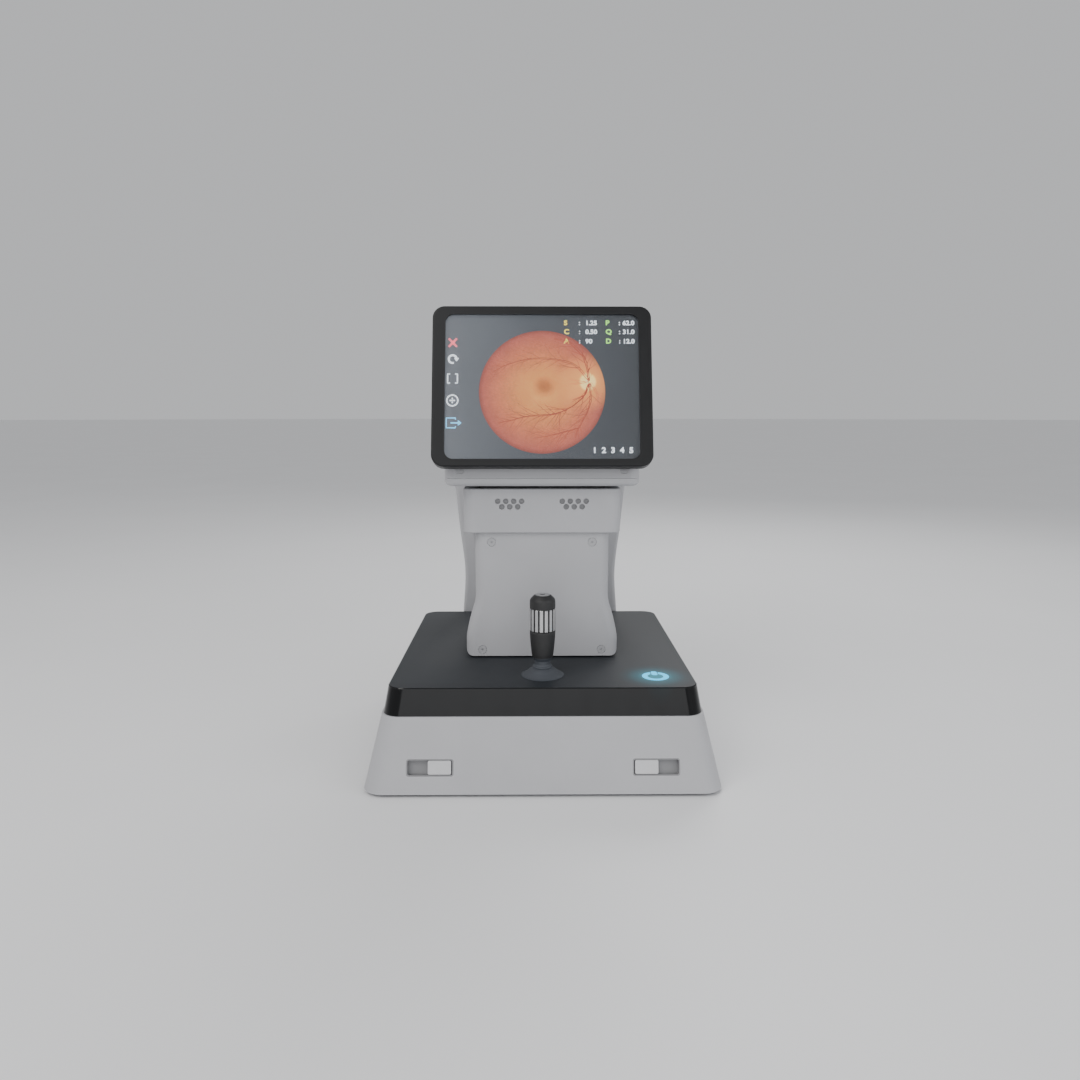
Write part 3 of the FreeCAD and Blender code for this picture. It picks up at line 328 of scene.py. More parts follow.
CAP = cap_mat()
COLLAR = plastic("collar_matte_blue_grey", (0.044, 0.050, 0.060), rough=0.58, var=0.08, grain=2200, grain_s=0.25, wear=0.3)
RECESS = plastic("switch_recess_grey", (0.24, 0.24, 0.247), rough=0.5, var=0.08)
KNOB = plastic("switch_knob_grey", (0.56, 0.56, 0.57), rough=0.4, var=0.04, wear=0.2)
STEEL = metal("ground_steel", (0.56, 0.56, 0.58), 0.22, (1, 1, 1))
ZINC = metal("zinc_plate", (0.60, 0.61, 0.63), 0.34, (1, 12, 1), 300)
SCREW = plastic("screw_painted", (0.365, 0.365, 0.378), rough=0.36, var=0.04, wear=0.05)
ALU = metal("machined_aluminium", (0.72, 0.72, 0.74), 0.33, (1, 14, 1), 350)
MOTOR = plastic("motor_enamel", (0.03, 0.03, 0.034), rough=0.35, var=0.1)
RUB = rubber("foot_rubber", (0.02, 0.02, 0.02))
CYAN = glow("power_light", (0.0, 0.44, 0.74), 1.6)
RIBS = ribs_metal("ring_ribs", 0.0103, 0.0108, JX, JY)
BTN = ribs_metal("button_rim", 0.0026, 0.0030, JX, JY)
CHIN = plastic("chin_cup_white", (0.72, 0.72, 0.72), rough=0.25, var=0.03, grain=1200, grain_s=0.05, coat=0.3)

MATS = {
    SHELL: ["base_shell", "rear_housing", "chin_tower", "frame_upright_right", "frame_upright_left", "forehead_band"],
    SHELL2: ["column_front_cover", "column_rear_cover", "vent_box", "head_tray", "head_cover"],
    CHAR: ["monitor_bezel", "monitor_back"],
    COLLAR: ["joystick_collar", "joystick_shaft"],
    BLK: ["joystick_housing", "neck_shroud", "dust_plate", "mains_inlet", "camera_module"],
    GRIP: ["joystick_grip", "joystick_cap"],
    CAP: ["top_cover"],
    RECESS: ["switch_trays"],
    KNOB: ["slide_knob_left", "slide_knob_right"],
    STEEL: ["y_guide_rods", "x_guide_rods", "z_guide_rods", "y_lead_screw", "x_lead_screw", "z_lead_screw", "chin_post", "gimbal_ring"],
    ZINC: ["base_plate"],
    SCREW: ["cover_screws", "head_screws"],
    ALU: ["y_rod_blocks", "y_carriage", "x_carriage", "column_frame", "neck_carriage", "optical_bench", "hinge_brackets", "hinge_arms",
          "objective_barrel", "power_supply"],
    MOTOR: ["y_actuator", "x_actuator", "z_actuator", "chin_lift_motor"],
    RUB: ["rubber_feet"],
    CYAN: ["power_lens"],
    RIBS: ["joystick_ring"],
    BTN: ["trigger_button"],
    CHIN: ["chin_cup"],
}
for mat, names in MATS.items():
    for n in names:
        o = N[n]
        o.data.materials.clear()
        o.data.materials.append(mat)
# ------------------------------------------------- pieces on the monitor
def retina_mat():
    m, nt, b = new_mat("retina_picture")
    tc = nt.nodes.new("ShaderNodeTexCoord")
    # plane coordinates centred on the picture: x right, s up, in units of its radius
    sub = nt.nodes.new("ShaderNodeVectorMath"); sub.operation = "SUBTRACT"
    c = mon(0.0, 0.0713, -0.0031)
    sub.inputs[1].default_value = c
    nt.links.new(tc.outputs["Object"], sub.inputs[0])
    mp = nt.nodes.new("ShaderNodeMapping")
    mp.inputs["Rotation"].default_value = (-(math.pi / 2 - LEAN), 0, 0)
    mp.inputs["Scale"].default_value = (1 / 0.057,) * 3
    mp.vector_type = "POINT"
    rot = nt.nodes.new("ShaderNodeVectorRotate")
    rot.rotation_type = "X_AXIS"
    rot.inputs["Angle"].default_value = -(math.pi / 2 - LEAN)
    nt.links.new(sub.outputs[0], rot.inputs["Vector"])
    sc = nt.nodes.new("ShaderNodeVectorMath"); sc.operation = "SCALE"
    sc.inputs["Scale"].default_value = 1 / 0.057
    nt.links.new(rot.outputs[0], sc.inputs[0])
    nt.nodes.remove(mp)
    P = sc.outputs[0]
    def dist(x, y, sx=1.0, sy=1.0):
        d = nt.nodes.new("ShaderNodeVectorMath"); d.operation = "SUBTRACT"
        d.inputs[1].default_value = (x, y, 0)
        nt.links.new(P, d.inputs[0])
        k = nt.nodes.new("ShaderNodeVectorMath"); k.operation = "MULTIPLY"
        k.inputs[1].default_value = (sx, sy, 0)
        nt.links.new(d.outputs[0], k.inputs[0])
        l = nt.nodes.new("ShaderNodeVectorMath"); l.operation = "LENGTH"
        nt.links.new(k.outputs[0], l.inputs[0])
        return l.outputs["Value"]
    n1 = noise(nt, P, 3.2, 6.0, 0.6)
    n2 = noise(nt, P, 26.0, 5.0, 0.65)
    rad = dist(0, 0)
    base = ramp(nt, rad, [(0.0, (0.70, 0.31, 0.075)), (0.35, (0.64, 0.24, 0.062)), (0.7, (0.52, 0.145, 0.062)), (0.93, (0.40, 0.092, 0.060)), (1.0, (0.25, 0.05, 0.035))])
    blot = ramp(nt, n1, [(0.32, (0.90, 0.84, 0.80)), (0.7, (1.06, 1.05, 1.03))])
    base = mixc(nt, 1.0, base, blot, "MULTIPLY")
    gran = ramp(nt, n2, [(0.3, (0.88, 0.85, 0.82)), (0.7, (1.05, 1.05, 1.05))])
    base = mixc(nt, 1.0, base, gran, "MULTIPLY")
    mac = ramp(nt, dist(0.03, 0.08), [(0.0, (0.62, 0.42, 0.34)), (0.08, (0.74, 0.56, 0.48)), (0.20, (1.06, 1.04, 1.0)), (0.34, (1.0, 1.0, 1.0))])
    base = mixc(nt, 1.0, base, mac, "MULTIPLY")
    halo = ramp(nt, dist(0.725, 0.16), [(0.0, (1, 1, 1)), (0.17, (0.55, 0.55, 0.55)), (0.50, (0, 0, 0))])
    base = mixc(nt, halo, base, (0.98, 0.42, 0.09))
    disc = ramp(nt, dist(0.725, 0.16, 1.0, 0.9), [(0.0, (1, 1, 1)), (0.10, (1, 1, 1)), (0.145, (0, 0, 0))])
    base = mixc(nt, disc, base, (1.0, 0.70, 0.24))
    cup = ramp(nt, dist(0.715, 0.165), [(0.0, (1, 1, 1)), (0.045, (0, 0, 0))])
    base = mixc(nt, cup, base, (1.0, 0.86, 0.46))
    nt.links.new(base, b.inputs["Base Color"])
    nt.links.new(base, b.inputs["Emission Color"])
    b.inputs["Emission Strength"].default_value = 1.0
    b.inputs["Roughness"].default_value = 0.4
    return m


def screen_mat():
    m, nt, b = new_mat("display_background")
    tc = nt.nodes.new("ShaderNodeTexCoord")
    sep = nt.nodes.new("ShaderNodeSeparateXYZ")
    nt.links.new(tc.outputs["Object"], sep.inputs[0])
    gx = remap(nt, sep.outputs[0], 0.0, 1.0, -0.088, 0.088)
    gx.node.inputs["From Min"].default_value = -0.088
    gx.node.inputs["From Max"].default_value = 0.088
    gx.node.inputs["To Min"].default_value = 0.0
    gx.node.inputs["To Max"].default_value = 1.0
    n = noise(nt, coords(nt), 9.0, 2.0)
    col = ramp(nt, gx, [(0.0, (0.115, 0.122, 0.134)), (0.45, (0.062, 0.068, 0.078)), (1.0, (0.028, 0.031, 0.036))])
    col = mixc(nt, 1.0, col, ramp(nt, n, [(0.3, (0.92,) * 3), (0.7, (1.06,) * 3)]), "MULTIPLY")
    nt.links.new(col, b.inputs["Base Color"])
    nt.links.new(col, b.inputs["Emission Color"])
    b.inputs["Emission Strength"].default_value = 0.85
    b.inputs["Roughness"].default_value = 0.5
    return m


RET = retina_mat()
SCR = screen_mat()
VES = glow("retina_vessel", (0.42, 0.065, 0.028), 0.8, 0.5)
VES2 = glow("retina_vein", (0.34, 0.045, 0.022), 0.75, 0.5)
WHITE = glow("sign_white", (0.85, 0.88, 0.92), 1.3, 0.5, 0.03)
REDP = glow("sign_red", (0.95, 0.16, 0.20), 1.4, 0.5, 0.03)
BLUE = glow("sign_blue", (0.20, 0.62, 0.95), 1.3, 0.5, 0.03)
YEL = glow("sign_yellow", (0.95, 0.72, 0.10), 1.2, 0.5, 0.03)
GRN = glow("sign_green", (0.40, 0.90, 0.16), 1.2, 0.5, 0.03)
N["lcd_module"].data.materials.clear()
N["lcd_module"].data.materials.append(SCR)


def on_screen(name, v, f, mat):
    o = mesh_obj(name, v, f, mat)
    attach(o, "monitor")
    return o


# the eye picture: a thin disc on the display
k = 128
pts = [(0.057 * math.cos(2 * math.pi * i / k), 0.0713 + 0.057 * math.sin(2 * math.pi * i / k)) for i in range(k)]
v, f = extrude_outline(pts, mon, -0.0034, -0.0031)
on_screen("retina_disc", v, f, RET)


def ribbon(path, w0, w1, d0=-0.0032, d1=-0.0030):
    """Flat tapering ribbon on the screen plane along (x, s) points."""
    left, right = [], []
    n = len(path)
    for i, p in enumerate(path):
        a = path[max(i - 1, 0)]
        b = path[min(i + 1, n - 1)]
        dx, dy = b[0] - a[0], b[1] - a[1]
        L = math.hypot(dx, dy) or 1e-9
        w = (w0 + (w1 - w0) * i / (n - 1)) / 2
        left.append((p[0] - dy / L * w, p[1] + dx / L * w))
        right.append((p[0] + dy / L * w, p[1] - dx / L * w))
    return extrude_outline(left + right[::-1], mon, d0, d1)


def merge(parts):
    V, F = [], []
    for v, f in parts:
        o = len(V)
        V += v
        F += [[i + o for i in q] for q in f]
    return V, F


ARCADES = (
    ([(0.73, 0.16), (0.70, 0.42), (0.60, 0.64), (0.42, 0.79), (0.12, 0.88)], 1.3, 0.5),
    ([(0.73, 0.18), (0.52, 0.42), (0.20, 0.52), (-0.20, 0.53), (-0.58, 0.43), (-0.84, 0.28)], 0.9, 0.42),
    ([(0.73, 0.13), (0.67, -0.05), (0.54, -0.19), (0.37, -0.30), (0.18, -0.37), (-0.02, -0.39), (-0.26, -0.41), (-0.48, -0.47), (-0.76, -0.52)], 1.35, 0.34),
    ([(0.75, 0.12), (0.75, -0.18), (0.66, -0.42), (0.55, -0.62), (0.50, -0.78)], 1.1, 0.45),
    ([(0.56, -0.60), (0.34, -0.66), (0.10, -0.72), (-0.20, -0.77)], 0.85, 0.4),
    ([(0.76, 0.14), (0.86, -0.05), (0.88, -0.32)], 0.55, 0.2),
)


def vessels(seed, shift, wide):
    rnd = random.Random(seed)
    out = []
    OD = (0.0413, 0.0713 + 0.0091)
    def grow(p, ang, w, length, bend, depth):
        path = [p]
        x, y = p
        step = 0.0016
        a = ang
        n = int(length / step)
        kids = []
        for i in range(n):
            a += bend * step + rnd.uniform(-0.10, 0.10)
            x += step * math.cos(a)
            y += step * math.sin(a)
            if math.hypot(x, y - 0.0713) > 0.0555:
                break
            if math.hypot(x - 0.002, y - 0.076) < 0.011 and depth:
                break
            path.append((x, y))
            if depth < 3 and i > 3 and rnd.random() < 0.12:
                kids.append(((x, y), a + rnd.choice((-1, 1)) * rnd.uniform(0.45, 0.9), w * (1 - 0.6 * i / n) * 0.62, length * rnd.uniform(0.35, 0.6),
                             rnd.uniform(-14, 14), depth + 1))
        if len(path) > 3:
            out.append(ribbon(path, w, w * 0.30))
        for q in kids:
            grow(*q)
    def guided(knots, w, kid):
        P = [Vector((0.057 * x + shift, 0.0713 + 0.057 * y + shift * 0.7, 0)) for x, y in knots]
        P = [P[0] * 2 - P[1]] + P + [P[-1] * 2 - P[-2]]
        path = []
        for i in range(1, len(P) - 2):
            for t in (0, 0.2, 0.4, 0.6, 0.8):
                p0, p1, p2, p3 = P[i - 1:i + 3]
                q = 0.5 * ((2 * p1) + (p2 - p0) * t + (2 * p0 - 5 * p1 + 4 * p2 - p3) * t * t + (3 * p1 - p0 - 3 * p2 + p3) * t ** 3)
                path.append((q.x + rnd.uniform(-1, 1) * 0.00022, q.y + rnd.uniform(-1, 1) * 0.00022))
        path = [p for p in path if math.hypot(p[0], p[1] - 0.0713) < 0.0558]
        out.append(ribbon(path, w, w * 0.35))
        for i in range(3, len(path) - 2):
            if rnd.random() < kid:
                a = math.atan2(path[i + 1][1] - path[i][1], path[i + 1][0] - path[i][0])
                grow(path[i], a + rnd.choice((-1, 1)) * rnd.uniform(0.4, 0.8), w * (1 - 0.5 * i / len(path)) * 0.72, rnd.uniform(0.012, 0.026), rnd.uniform(-14, 14), 2)
    for knots, k_, kid in ARCADES:
        guided(knots, wide * k_, kid)
    for ang, L in ((172, 0.018), (196, 0.014), (60, 0.011), (310, 0.012)):
        grow(OD, math.radians(ang + 200 * shift), wide * 0.45, L, 0, 2)
    return merge(out)


v, f = vessels(11, 0.0, 0.00075)
on_screen("retina_arteries", v, f, VES)
v, f = vessels(29, 0.0012, 0.00060)
on_screen("retina_veins", v, f, VES2)


def stroke(path, w, closed=False):
    if closed:
        n = len(path)
        cx = sum(p[0] for p in path) / n
        cy = sum(p[1] for p in path) / n
        V, F = [], []
        for d in (-0.0034, -0.0031):
            for sgn in (-1, 1):
                for p in path:
                    L = math.hypot(p[0] - cx, p[1] - cy)
                    s = 1 + sgn * w / 2 / L
                    V.append(mon(cx + (p[0] - cx) * s, cy + (p[1] - cy) * s, d))
        for i in range(n):
            j = (i + 1) % n
            F += [[2 * n + i, 2 * n + j, 3 * n + j, 3 * n + i], [i, n + i, n + j, j],
                  [n + i, 3 * n + i, 3 * n + j, n + j], [i, j, 2 * n + j, 2 * n + i]]
        return V, F
    return ribbon(path, w, w, -0.0034, -0.0031)


def arc(cx, cy, r, a0, a1, n=24):
    return [(cx + r * math.cos(math.radians(a0 + (a1 - a0) * i / n)), cy + r * math.sin(math.radians(a0 + (a1 - a0) * i / n))) for i in range(n + 1)]


IX = -0.081
w = 0.0016
s = 0.1172
on_screen("sign_cross", *merge([stroke([(IX - 0.0036, s - 0.0038), (IX, s), (IX + 0.0036, s + 0.0038)], w),
                                stroke([(IX - 0.0036, s + 0.0038), (IX, s), (IX + 0.0036, s - 0.0038)], w)]), REDP)
s = 0.1017
on_screen("sign_repeat", *merge([stroke(arc(IX, s, 0.0036, 285, 15), w),
                                 extrude_outline([(IX + 0.0014, s + 0.0010), (IX + 0.0056, s + 0.0010), (IX + 0.0035, s - 0.0022)][::-1], mon, -0.0034, -0.0031)]), WHITE)
s = 0.0836
on_screen("sign_frame", *merge([stroke([(IX - 0.0022, s + 0.0042), (IX - 0.0044, s + 0.0042), (IX - 0.0044, s), (IX - 0.0044, s - 0.0042), (IX - 0.0022, s - 0.0042)], 0.0011),
                                stroke([(IX + 0.0022, s + 0.0042), (IX + 0.0044, s + 0.0042), (IX + 0.0044, s), (IX + 0.0044, s - 0.0042), (IX + 0.0022, s - 0.0042)], 0.0011)]), WHITE)
s = 0.0632
on_screen("sign_target", *merge([stroke(arc(IX, s, 0.0050, 0, 345, 23), 0.0011, True),
                                 stroke([(IX - 0.0024, s), (IX, s), (IX + 0.0024, s)], 0.0011),
                                 stroke([(IX, s + 0.0012), (IX, s + 0.0024)], 0.0011), stroke([(IX, s - 0.0024), (IX, s - 0.0012)], 0.0011)]), WHITE)
s = 0.0425
on_screen("sign_leave", *merge([stroke([(IX + 0.0030, s + 0.0030), (IX + 0.0030, s + 0.0045), (IX - 0.0052, s + 0.0045), (IX - 0.0052, s - 0.0045), (IX + 0.0030, s - 0.0045), (IX + 0.0030, s - 0.0030)], 0.0011),
                                stroke([(IX - 0.0014, s), (IX + 0.0058, s)], 0.0011),
                                extrude_outline([(IX + 0.0052, s + 0.0026), (IX + 0.0052, s - 0.0026), (IX + 0.0084, s)], mon, -0.0034, -0.0031)]), BLUE)


def label(name, text, x, s, size, mat):
    """Figures drawn as flat solid letters on the display."""
    cu = bpy.data.curves.new(name + "_c", "FONT")
    cu.body = text
    cu.size = size
    cu.extrude = 0.00012
    cu.offset = size * 0.030
    cu.resolution_u = 3
    tmp = link(bpy.data.objects.new(name + "_t", cu))
    bpy.context.view_layer.update()
    me = bpy.data.meshes.new_from_object(tmp)
    bpy.data.objects.remove(tmp)
    vs = [mon(x + q.co.x * 1.08, s + q.co.y, -0.0032 + q.co.z) for q in me.vertices]
    fs = [list(p.vertices) for p in me.polygons]
    o = on_screen(name, vs, fs, mat)
    bm = bmesh.new()
    bm.from_mesh(o.data)
    bmesh.ops.remove_doubles(bm, verts=bm.verts, dist=1e-7)
    bm.to_mesh(o.data)
    bm.free()
    return o


rows = [(0.1339, "S", "1.25", "P", "62.0"), (0.1255, "C", "0.50", "Q", "31.0"), (0.1166, "A", "90", "D", "12.0")]
for i, (s, a, b_, c_, d_) in enumerate(rows):
    label("name_a%d" % i, a, 0.0200, s, 0.0062, YEL)
    label("colon_a%d" % i, ":", 0.0335, s, 0.0060, WHITE)
    label("value_a%d" % i, b_, 0.0395, s, 0.0058, WHITE)
    label("name_b%d" % i, c_, 0.0580, s, 0.0062, GRN)
    label("colon_b%d" % i, ":", 0.0700, s, 0.0060, WHITE)
    label("value_b%d" % i, d_, 0.0735, s, 0.0058, WHITE)
label("counter", "1  2  3  4  5", 0.0450, 0.0150, 0.0072, WHITE)

# thin touch glass with an air gap over the display
gm, nt, gb = new_mat("touch_glass_clear")
gb.inputs["Base Color"].default_value = (0.92, 0.94, 0.96, 1)
gb.inputs["Transmission Weight"].default_value = 1.0
gb.inputs["IOR"].default_value = 1.45
sm = noise(nt, coords(nt, (8.0, 3.0, 5.0)), 3.0, 5.0, 0.6)
nt.links.new(remap(nt, sm, 0.02, 0.09, 0.35, 0.75), gb.inputs["Roughness"])
v, f = extrude_outline(rrect_pts(-0.09085, 0.09085, 0.0061, 0.1461, 0.0075), mon, -0.0027, -0.0020)
glass = mesh_obj("touch_glass_sheet", v, f, gm)
bm = bmesh.new(); bm.from_mesh(glass.data); bmesh.ops.recalc_face_normals(bm, faces=bm.faces); bm.to_mesh(glass.data); bm.free()
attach(glass, "monitor")
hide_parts("touch_glass")

# --------------------------------------------------- cloth behind the vents
def cloth_mat():
    m, nt, b = new_mat("speaker_cloth")
    v = coords(nt)
    w1 = nt.nodes.new("ShaderNodeTexWave"); w1.bands_direction = "X"; w1.inputs["Scale"].default_value = 520
    w2 = nt.nodes.new("ShaderNodeTexWave"); w2.bands_direction = "Z"; w2.inputs["Scale"].default_value = 520
    nt.links.new(v, w1.inputs["Vector"]); nt.links.new(v, w2.inputs["Vector"])
    h = mixc(nt, 0.5, w1.outputs["Color"], w2.outputs["Color"])
    nt.links.new(ramp(nt, h, [(0.3, (0.27, 0.27, 0.275)), (0.8, (0.36, 0.36, 0.37))]), b.inputs["Base Color"])
    b.inputs["Roughness"].default_value = 0.85
    bump(nt, b, h, 0.6, 0.0002)
    return m


CLOTH = cloth_mat()
for i, gx in enumerate((-0.0301, 0.0301)):
    v, f = extrude_outline(rrect_pts(gx - 0.0165, gx + 0.0165, 0.2315, 0.2465, 0.003), lambda x, z, d: Vector((x, d, z)), 0.1106 - OY, 0.1112 - OY)
    o = mesh_obj("vent_cloth_%d" % i, v, f, CLOTH)
    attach(o, "x_stage")

# ------------------------------------------------------------ forehead pad
def vinyl_mat():
    m, nt, b = new_mat("pad_vinyl")
    v = coords(nt)
    vo = nt.nodes.new("ShaderNodeTexVoronoi")
    vo.feature = "DISTANCE_TO_EDGE"
    vo.inputs["Scale"].default_value = 700
    nt.links.new(v, vo.inputs["Vector"])
    leather = remap(nt, vo.outputs["Distance"], 0.0, 1.0, 0.0, 0.12)
    n = noise(nt, v, 40, 4)
    nt.links.new(ramp(nt, n, [(0.3, (0.030, 0.030, 0.033)), (0.7, (0.050, 0.050, 0.054))]), b.inputs["Base Color"])
    nt.links.new(remap(nt, n, 0.42, 0.56), b.inputs["Roughness"])
    b.inputs["Sheen Weight"].default_value = 0.15
    bump(nt, b, leather, 0.35, 0.00025)
    return m


VINYL = vinyl_mat()
plo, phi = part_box("forehead_pad")
PC = Vector(((plo[0] + phi[0]) / 2, 0, (plo[2] + phi[2]) / 2))
HX, HZ = (phi[0] - plo[0]) / 2, (phi[2] - plo[2]) / 2
YB = plo[1]                                     # face that rests on the band


def pad_mesh(shrink):
    """Cushion lofted along x: flat back, crowned face, hollow in plan."""
    bm = bmesh.new()
    nx, na = 44, 28
    rings = []
    for i in range(nx + 1):
        u = -1 + 2 * i / nx
        x = u * (HX - shrink)
        end = (1 - abs(u) ** 5.0) ** 0.5 if abs(u) < 1 else 0.0
        end = max(end, 0.22)
        front = 0.0155 - 0.0052 * (1 - u * u)      # face dips in the middle
        depth = (front - shrink) * (0.55 + 0.45 * end)
        hz = (HZ - shrink) * (0.50 + 0.50 * end)
        ring = []
        for j in range(na):
            t = 2 * math.pi * j / na
            c, s_ = math.cos(t), math.sin(t)
            e = 0.55
            py = math.copysign(abs(c) ** e, c)
            pz = math.copysign(abs(s_) ** e, s_)
            y = YB + 0.0003 + depth * (0.5 + 0.5 * py)
            z = PC.z + hz * pz * (1 - 0.06 * (1 + py) / 2)
            ring.append(bm.verts.new((x, y, z)))
        rings.append(ring)
    for a, b in zip(rings, rings[1:]):
        for j in range(na):
            bm.faces.new((a[j], a[(j + 1) % na], b[(j + 1) % na], b[j]))
    bm.faces.new(rings[0][::-1])
    bm.faces.new(rings[-1])
    bmesh.ops.recalc_face_normals(bm, faces=bm.faces)
    me = bpy.data.meshes.new("forehead_cushion")
    bm.to_mesh(me)
    bm.free()
    return link(bpy.data.objects.new("forehead_cushion", me))


pad = pad_mesh(0.0006)


def apply_mods(o):
    dg = bpy.context.evaluated_depsgraph_get()
    me = bpy.data.meshes.new_from_object(o.evaluated_get(dg))
    old = o.data
    o.modifiers.clear()
    o.data = me
    bpy.data.meshes.remove(old)


rm = pad.modifiers.new("remesh", "REMESH")
rm.mode = "VOXEL"
rm.voxel_size = 0.0022
apply_mods(pad)
rest_co = [q.co.copy() for q in pad.data.vertices]
cl = pad.modifiers.new("cloth", "CLOTH")
st = cl.settings
st.quality = 5
st.mass = 0.3
st.use_pressure = True
st.uniform_pressure_force = 3.0
st.tension_stiffness = 12
st.compression_stiffness = 12
st.bending_stiffness = 0.6
st.effector_weights.gravity = 0.0
vg = pad.vertex_groups.new(name="back")
vg.add([q.index for q in pad.data.vertices if q.co.y < YB + 0.0012], 1.0, "REPLACE")
st.vertex_group_mass = "back"
sc_ = bpy.context.scene
for fr in range(1, 15):
    sc_.frame_set(fr)
apply_mods(pad)
sc_.frame_set(1)
cap = 0.0018
for q, r in zip(pad.data.vertices, rest_co):
    d = q.co - r
    if d.length > cap:
        q.co = r + d * (cap / d.length)
    q.co.y = max(q.co.y, YB + 0.0002)
    # two sewn channels across the face
    for cx in (-0.021, 0.021):
        g = math.exp(-((q.co.x - cx) / 0.0022) ** 2)
        if q.co.y > YB + 0.004:
            q.co.y -= 0.0016 * g
pad.data.materials.clear()
pad.data.materials.append(VINYL)
for p in pad.data.polygons:
    p.use_smooth = True
sd = pad.modifiers.new("sub", "SUBSURF")
sd.levels = sd.render_levels = 1
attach(pad, "base")
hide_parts("forehead_pad")

# piping round the pad's back edge
def tube_obj(name, pts, r, mat, cyclic=False, res=6):
    cu = bpy.data.curves.new(name + "_c", "CURVE")
    cu.dimensions = "3D"
    sp = cu.splines.new("POLY")
    sp.points.add(len(pts) - 1)
    for q, p in zip(sp.points, pts):
        q.co = (p[0], p[1], p[2], 1)
    sp.use_cyclic_u = cyclic
    cu.bevel_depth = r
    cu.bevel_resolution = 2
    cu.use_fill_caps = True
    t = link(bpy.data.objects.new(name + "_t", cu))
    bpy.context.view_layer.update()
    me = bpy.data.meshes.new_from_object(t)
    bpy.data.objects.remove(t)
    me.materials.clear()
    me.materials.append(mat)
    for p in me.polygons:
        p.use_smooth = True
    return link(bpy.data.objects.new(name, me))


pp = [(x, YB + 0.0021, z) for x, z in rrect_pts(-HX + 0.0030, HX - 0.0030, PC.z - HZ + 0.0024, PC.z + HZ - 0.0024, 0.0078, 10)]
pipe = tube_obj("pad_piping", pp, 0.0010, RUB, True)
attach(pipe, "base")

# ------------------------------------------------------- patient-side optics
lm, nt, lb = new_mat("coated_lens")
lb.inputs["Base Color"].default_value = (0.75, 0.85, 1.0, 1)
lb.inputs["Transmission Weight"].default_value = 0.9
lb.inputs["IOR"].default_value = 1.6
lb.inputs["Coat Weight"].default_value = 1.0
lb.inputs["Coat Tint"].default_value = (0.45, 0.55, 1.0, 1)
nt.links.new(remap(nt, noise(nt, coords(nt), 60.0), 0.01, 0.05), lb.inputs["Roughness"])
N["objective_lens"].data.materials.clear()
N["objective_lens"].data.materials.append(lm)
# a black retaining ring in front of the lens with a ring of small lamps
def lathe(name, prof, cy_axis, mat, seg=96):
    """Solid of revolution about the optical axis; prof is (r, y)."""
    n = len(prof)
    V, F = [], []
    for i in range(seg):
        t = 2 * math.pi * i / seg
        for r, y in prof:
            V.append((r * math.cos(t), y, AX_Z + r * math.sin(t)))
    for i in range(seg):
        j = (i + 1) % seg
        for a in range(n):
            b = (a + 1) % n
            F.append([i * n + a, j * n + a, j * n + b, i * n + b])
    o = mesh_obj(name, V, F, mat)
    bm = bmesh.new(); bm.from_mesh(o.data); bmesh.ops.recalc_face_normals(bm, faces=bm.faces); bm.to_mesh(o.data); bm.free()
    return o


y0 = 0.2595 - OY
ret = lathe("lens_retaining_ring", [(0.0165, y0), (0.0170, y0 + 0.0022), (0.0180, y0 + 0.0030), (0.0212, y0 + 0.0030), (0.0217, y0 + 0.0024), (0.0217, y0)], 0, BLK)
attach(ret, "head")
LAMP = glow("guide_lamp", (0.9, 0.95, 1.0), 0.6, 0.2)
parts = []
for i in range(8):
    t = math.radians(22.5 + 45 * i)
    cx, cz = 0.0195 * math.cos(t), 0.0195 * math.sin(t)
    ring_pts = []
    V, F = [], []
    for lv, (rr, dy) in enumerate(((0.0011, 0.0028), (0.0011, 0.0034), (0.0008, 0.0039), (0.0003, 0.0041))):
        for q in range(12):
            a = 2 * math.pi * q / 12
            V.append((cx + rr * math.cos(a), y0 + dy, AX_Z + cz + rr * math.sin(a)))
    for lv in range(3):
        for q in range(12):
            p = (q + 1) % 12
            F.append([lv * 12 + q, lv * 12 + p, (lv + 1) * 12 + p, (lv + 1) * 12 + q])
    F.append([36 + q for q in range(12)])
    F.append([q for q in range(12)][::-1])
    parts.append((V, F))
lamps = mesh_obj("guide_lamps", *merge(parts), LAMP)
bm = bmesh.new(); bm.from_mesh(lamps.data); bmesh.ops.recalc_face_normals(bm, faces=bm.faces); bm.to_mesh(lamps.data); bm.free()
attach(lamps, "head")

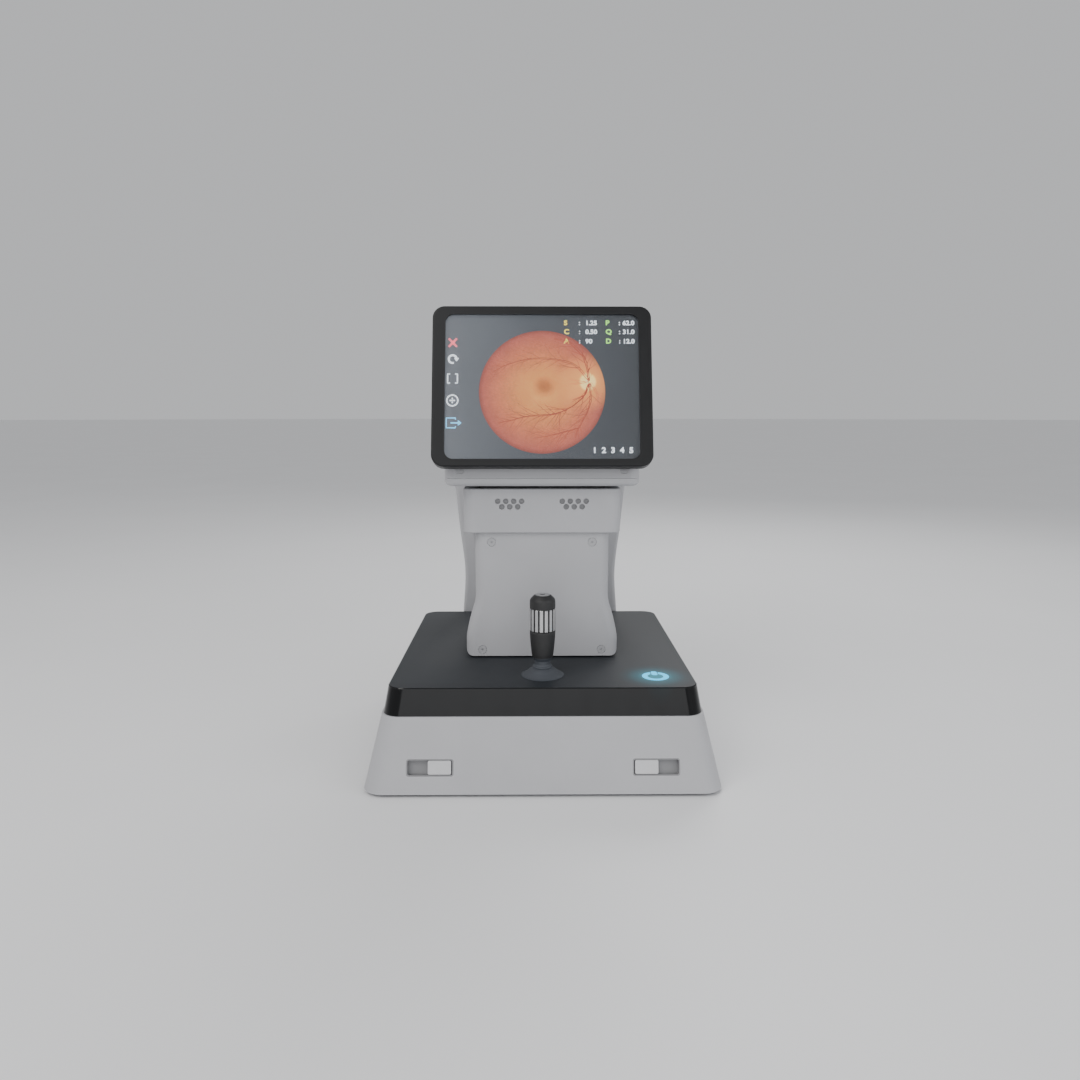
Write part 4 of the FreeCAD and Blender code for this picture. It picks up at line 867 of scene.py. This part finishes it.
# -------------------------------------------------------------------- stage
fm, nt, fb = new_mat("floor_pale")
n = noise(nt, coords(nt), 3.0, 3.0)
nt.links.new(ramp(nt, n, [(0.3, (0.80, 0.80, 0.805)), (0.7, (0.82, 0.82, 0.825))]), fb.inputs["Base Color"])
fb.inputs["Roughness"].default_value = 0.55
k = 96
V = [(0, 0, 0)] + [(40 * math.cos(2 * math.pi * i / k), 40 * math.sin(2 * math.pi * i / k), 0) for i in range(k)]
F = [[0, 1 + i, 1 + (i + 1) % k] for i in range(k)]
floor = mesh_obj("floor", V, F, fm)


def area(name, loc, target, size, power, col=(1, 1, 1)):
    l = bpy.data.lights.new(name, "AREA")
    l.shape = "RECTANGLE"
    l.size, l.size_y = size
    l.energy = power
    l.color = col
    o = link(bpy.data.objects.new(name, l))
    o.location = loc
    d = Vector(target) - Vector(loc)
    o.rotation_euler = d.to_track_quat("-Z", "Y").to_euler()
    return o


area("key", (-0.9, -1.1, 1.5), (0, -0.05, 0.2), (1.1, 1.1), 17, (1.0, 0.985, 0.97))
area("fill", (1.4, -0.9, 0.8), (0, 0, 0.2), (1.2, 1.2), 7, (0.95, 0.97, 1.0))
area("front", (0.1, -1.7, 0.45), (0, 0, 0.22), (1.6, 0.9), 7, (0.98, 0.99, 1.0))
area("rim", (0.5, 1.3, 1.4), (0, 0, 0.25), (1.0, 0.6), 12)
w_ = bpy.data.worlds.new("studio")
bpy.context.scene.world = w_
w_.use_nodes = True
bg = w_.node_tree.nodes["Background"]
bg.inputs["Color"].default_value = (0.86, 0.87, 0.89, 1)
bg.inputs["Strength"].default_value = 0.66

cam_d = bpy.data.cameras.new("camera")
cam_d.lens = 28.0
cam_d.sensor_width = 36.0
cam_d.clip_start = 0.01
cam = link(bpy.data.objects.new("camera", cam_d))
cam.location = (-0.0088, -0.6724 - OY, 0.3239)
# horizon 128 px above the middle of a 1080 px frame at f = 840 px
cam.rotation_euler = (math.radians(90 - 8.664), 0, math.radians(-0.51))
bpy.context.scene.camera = cam
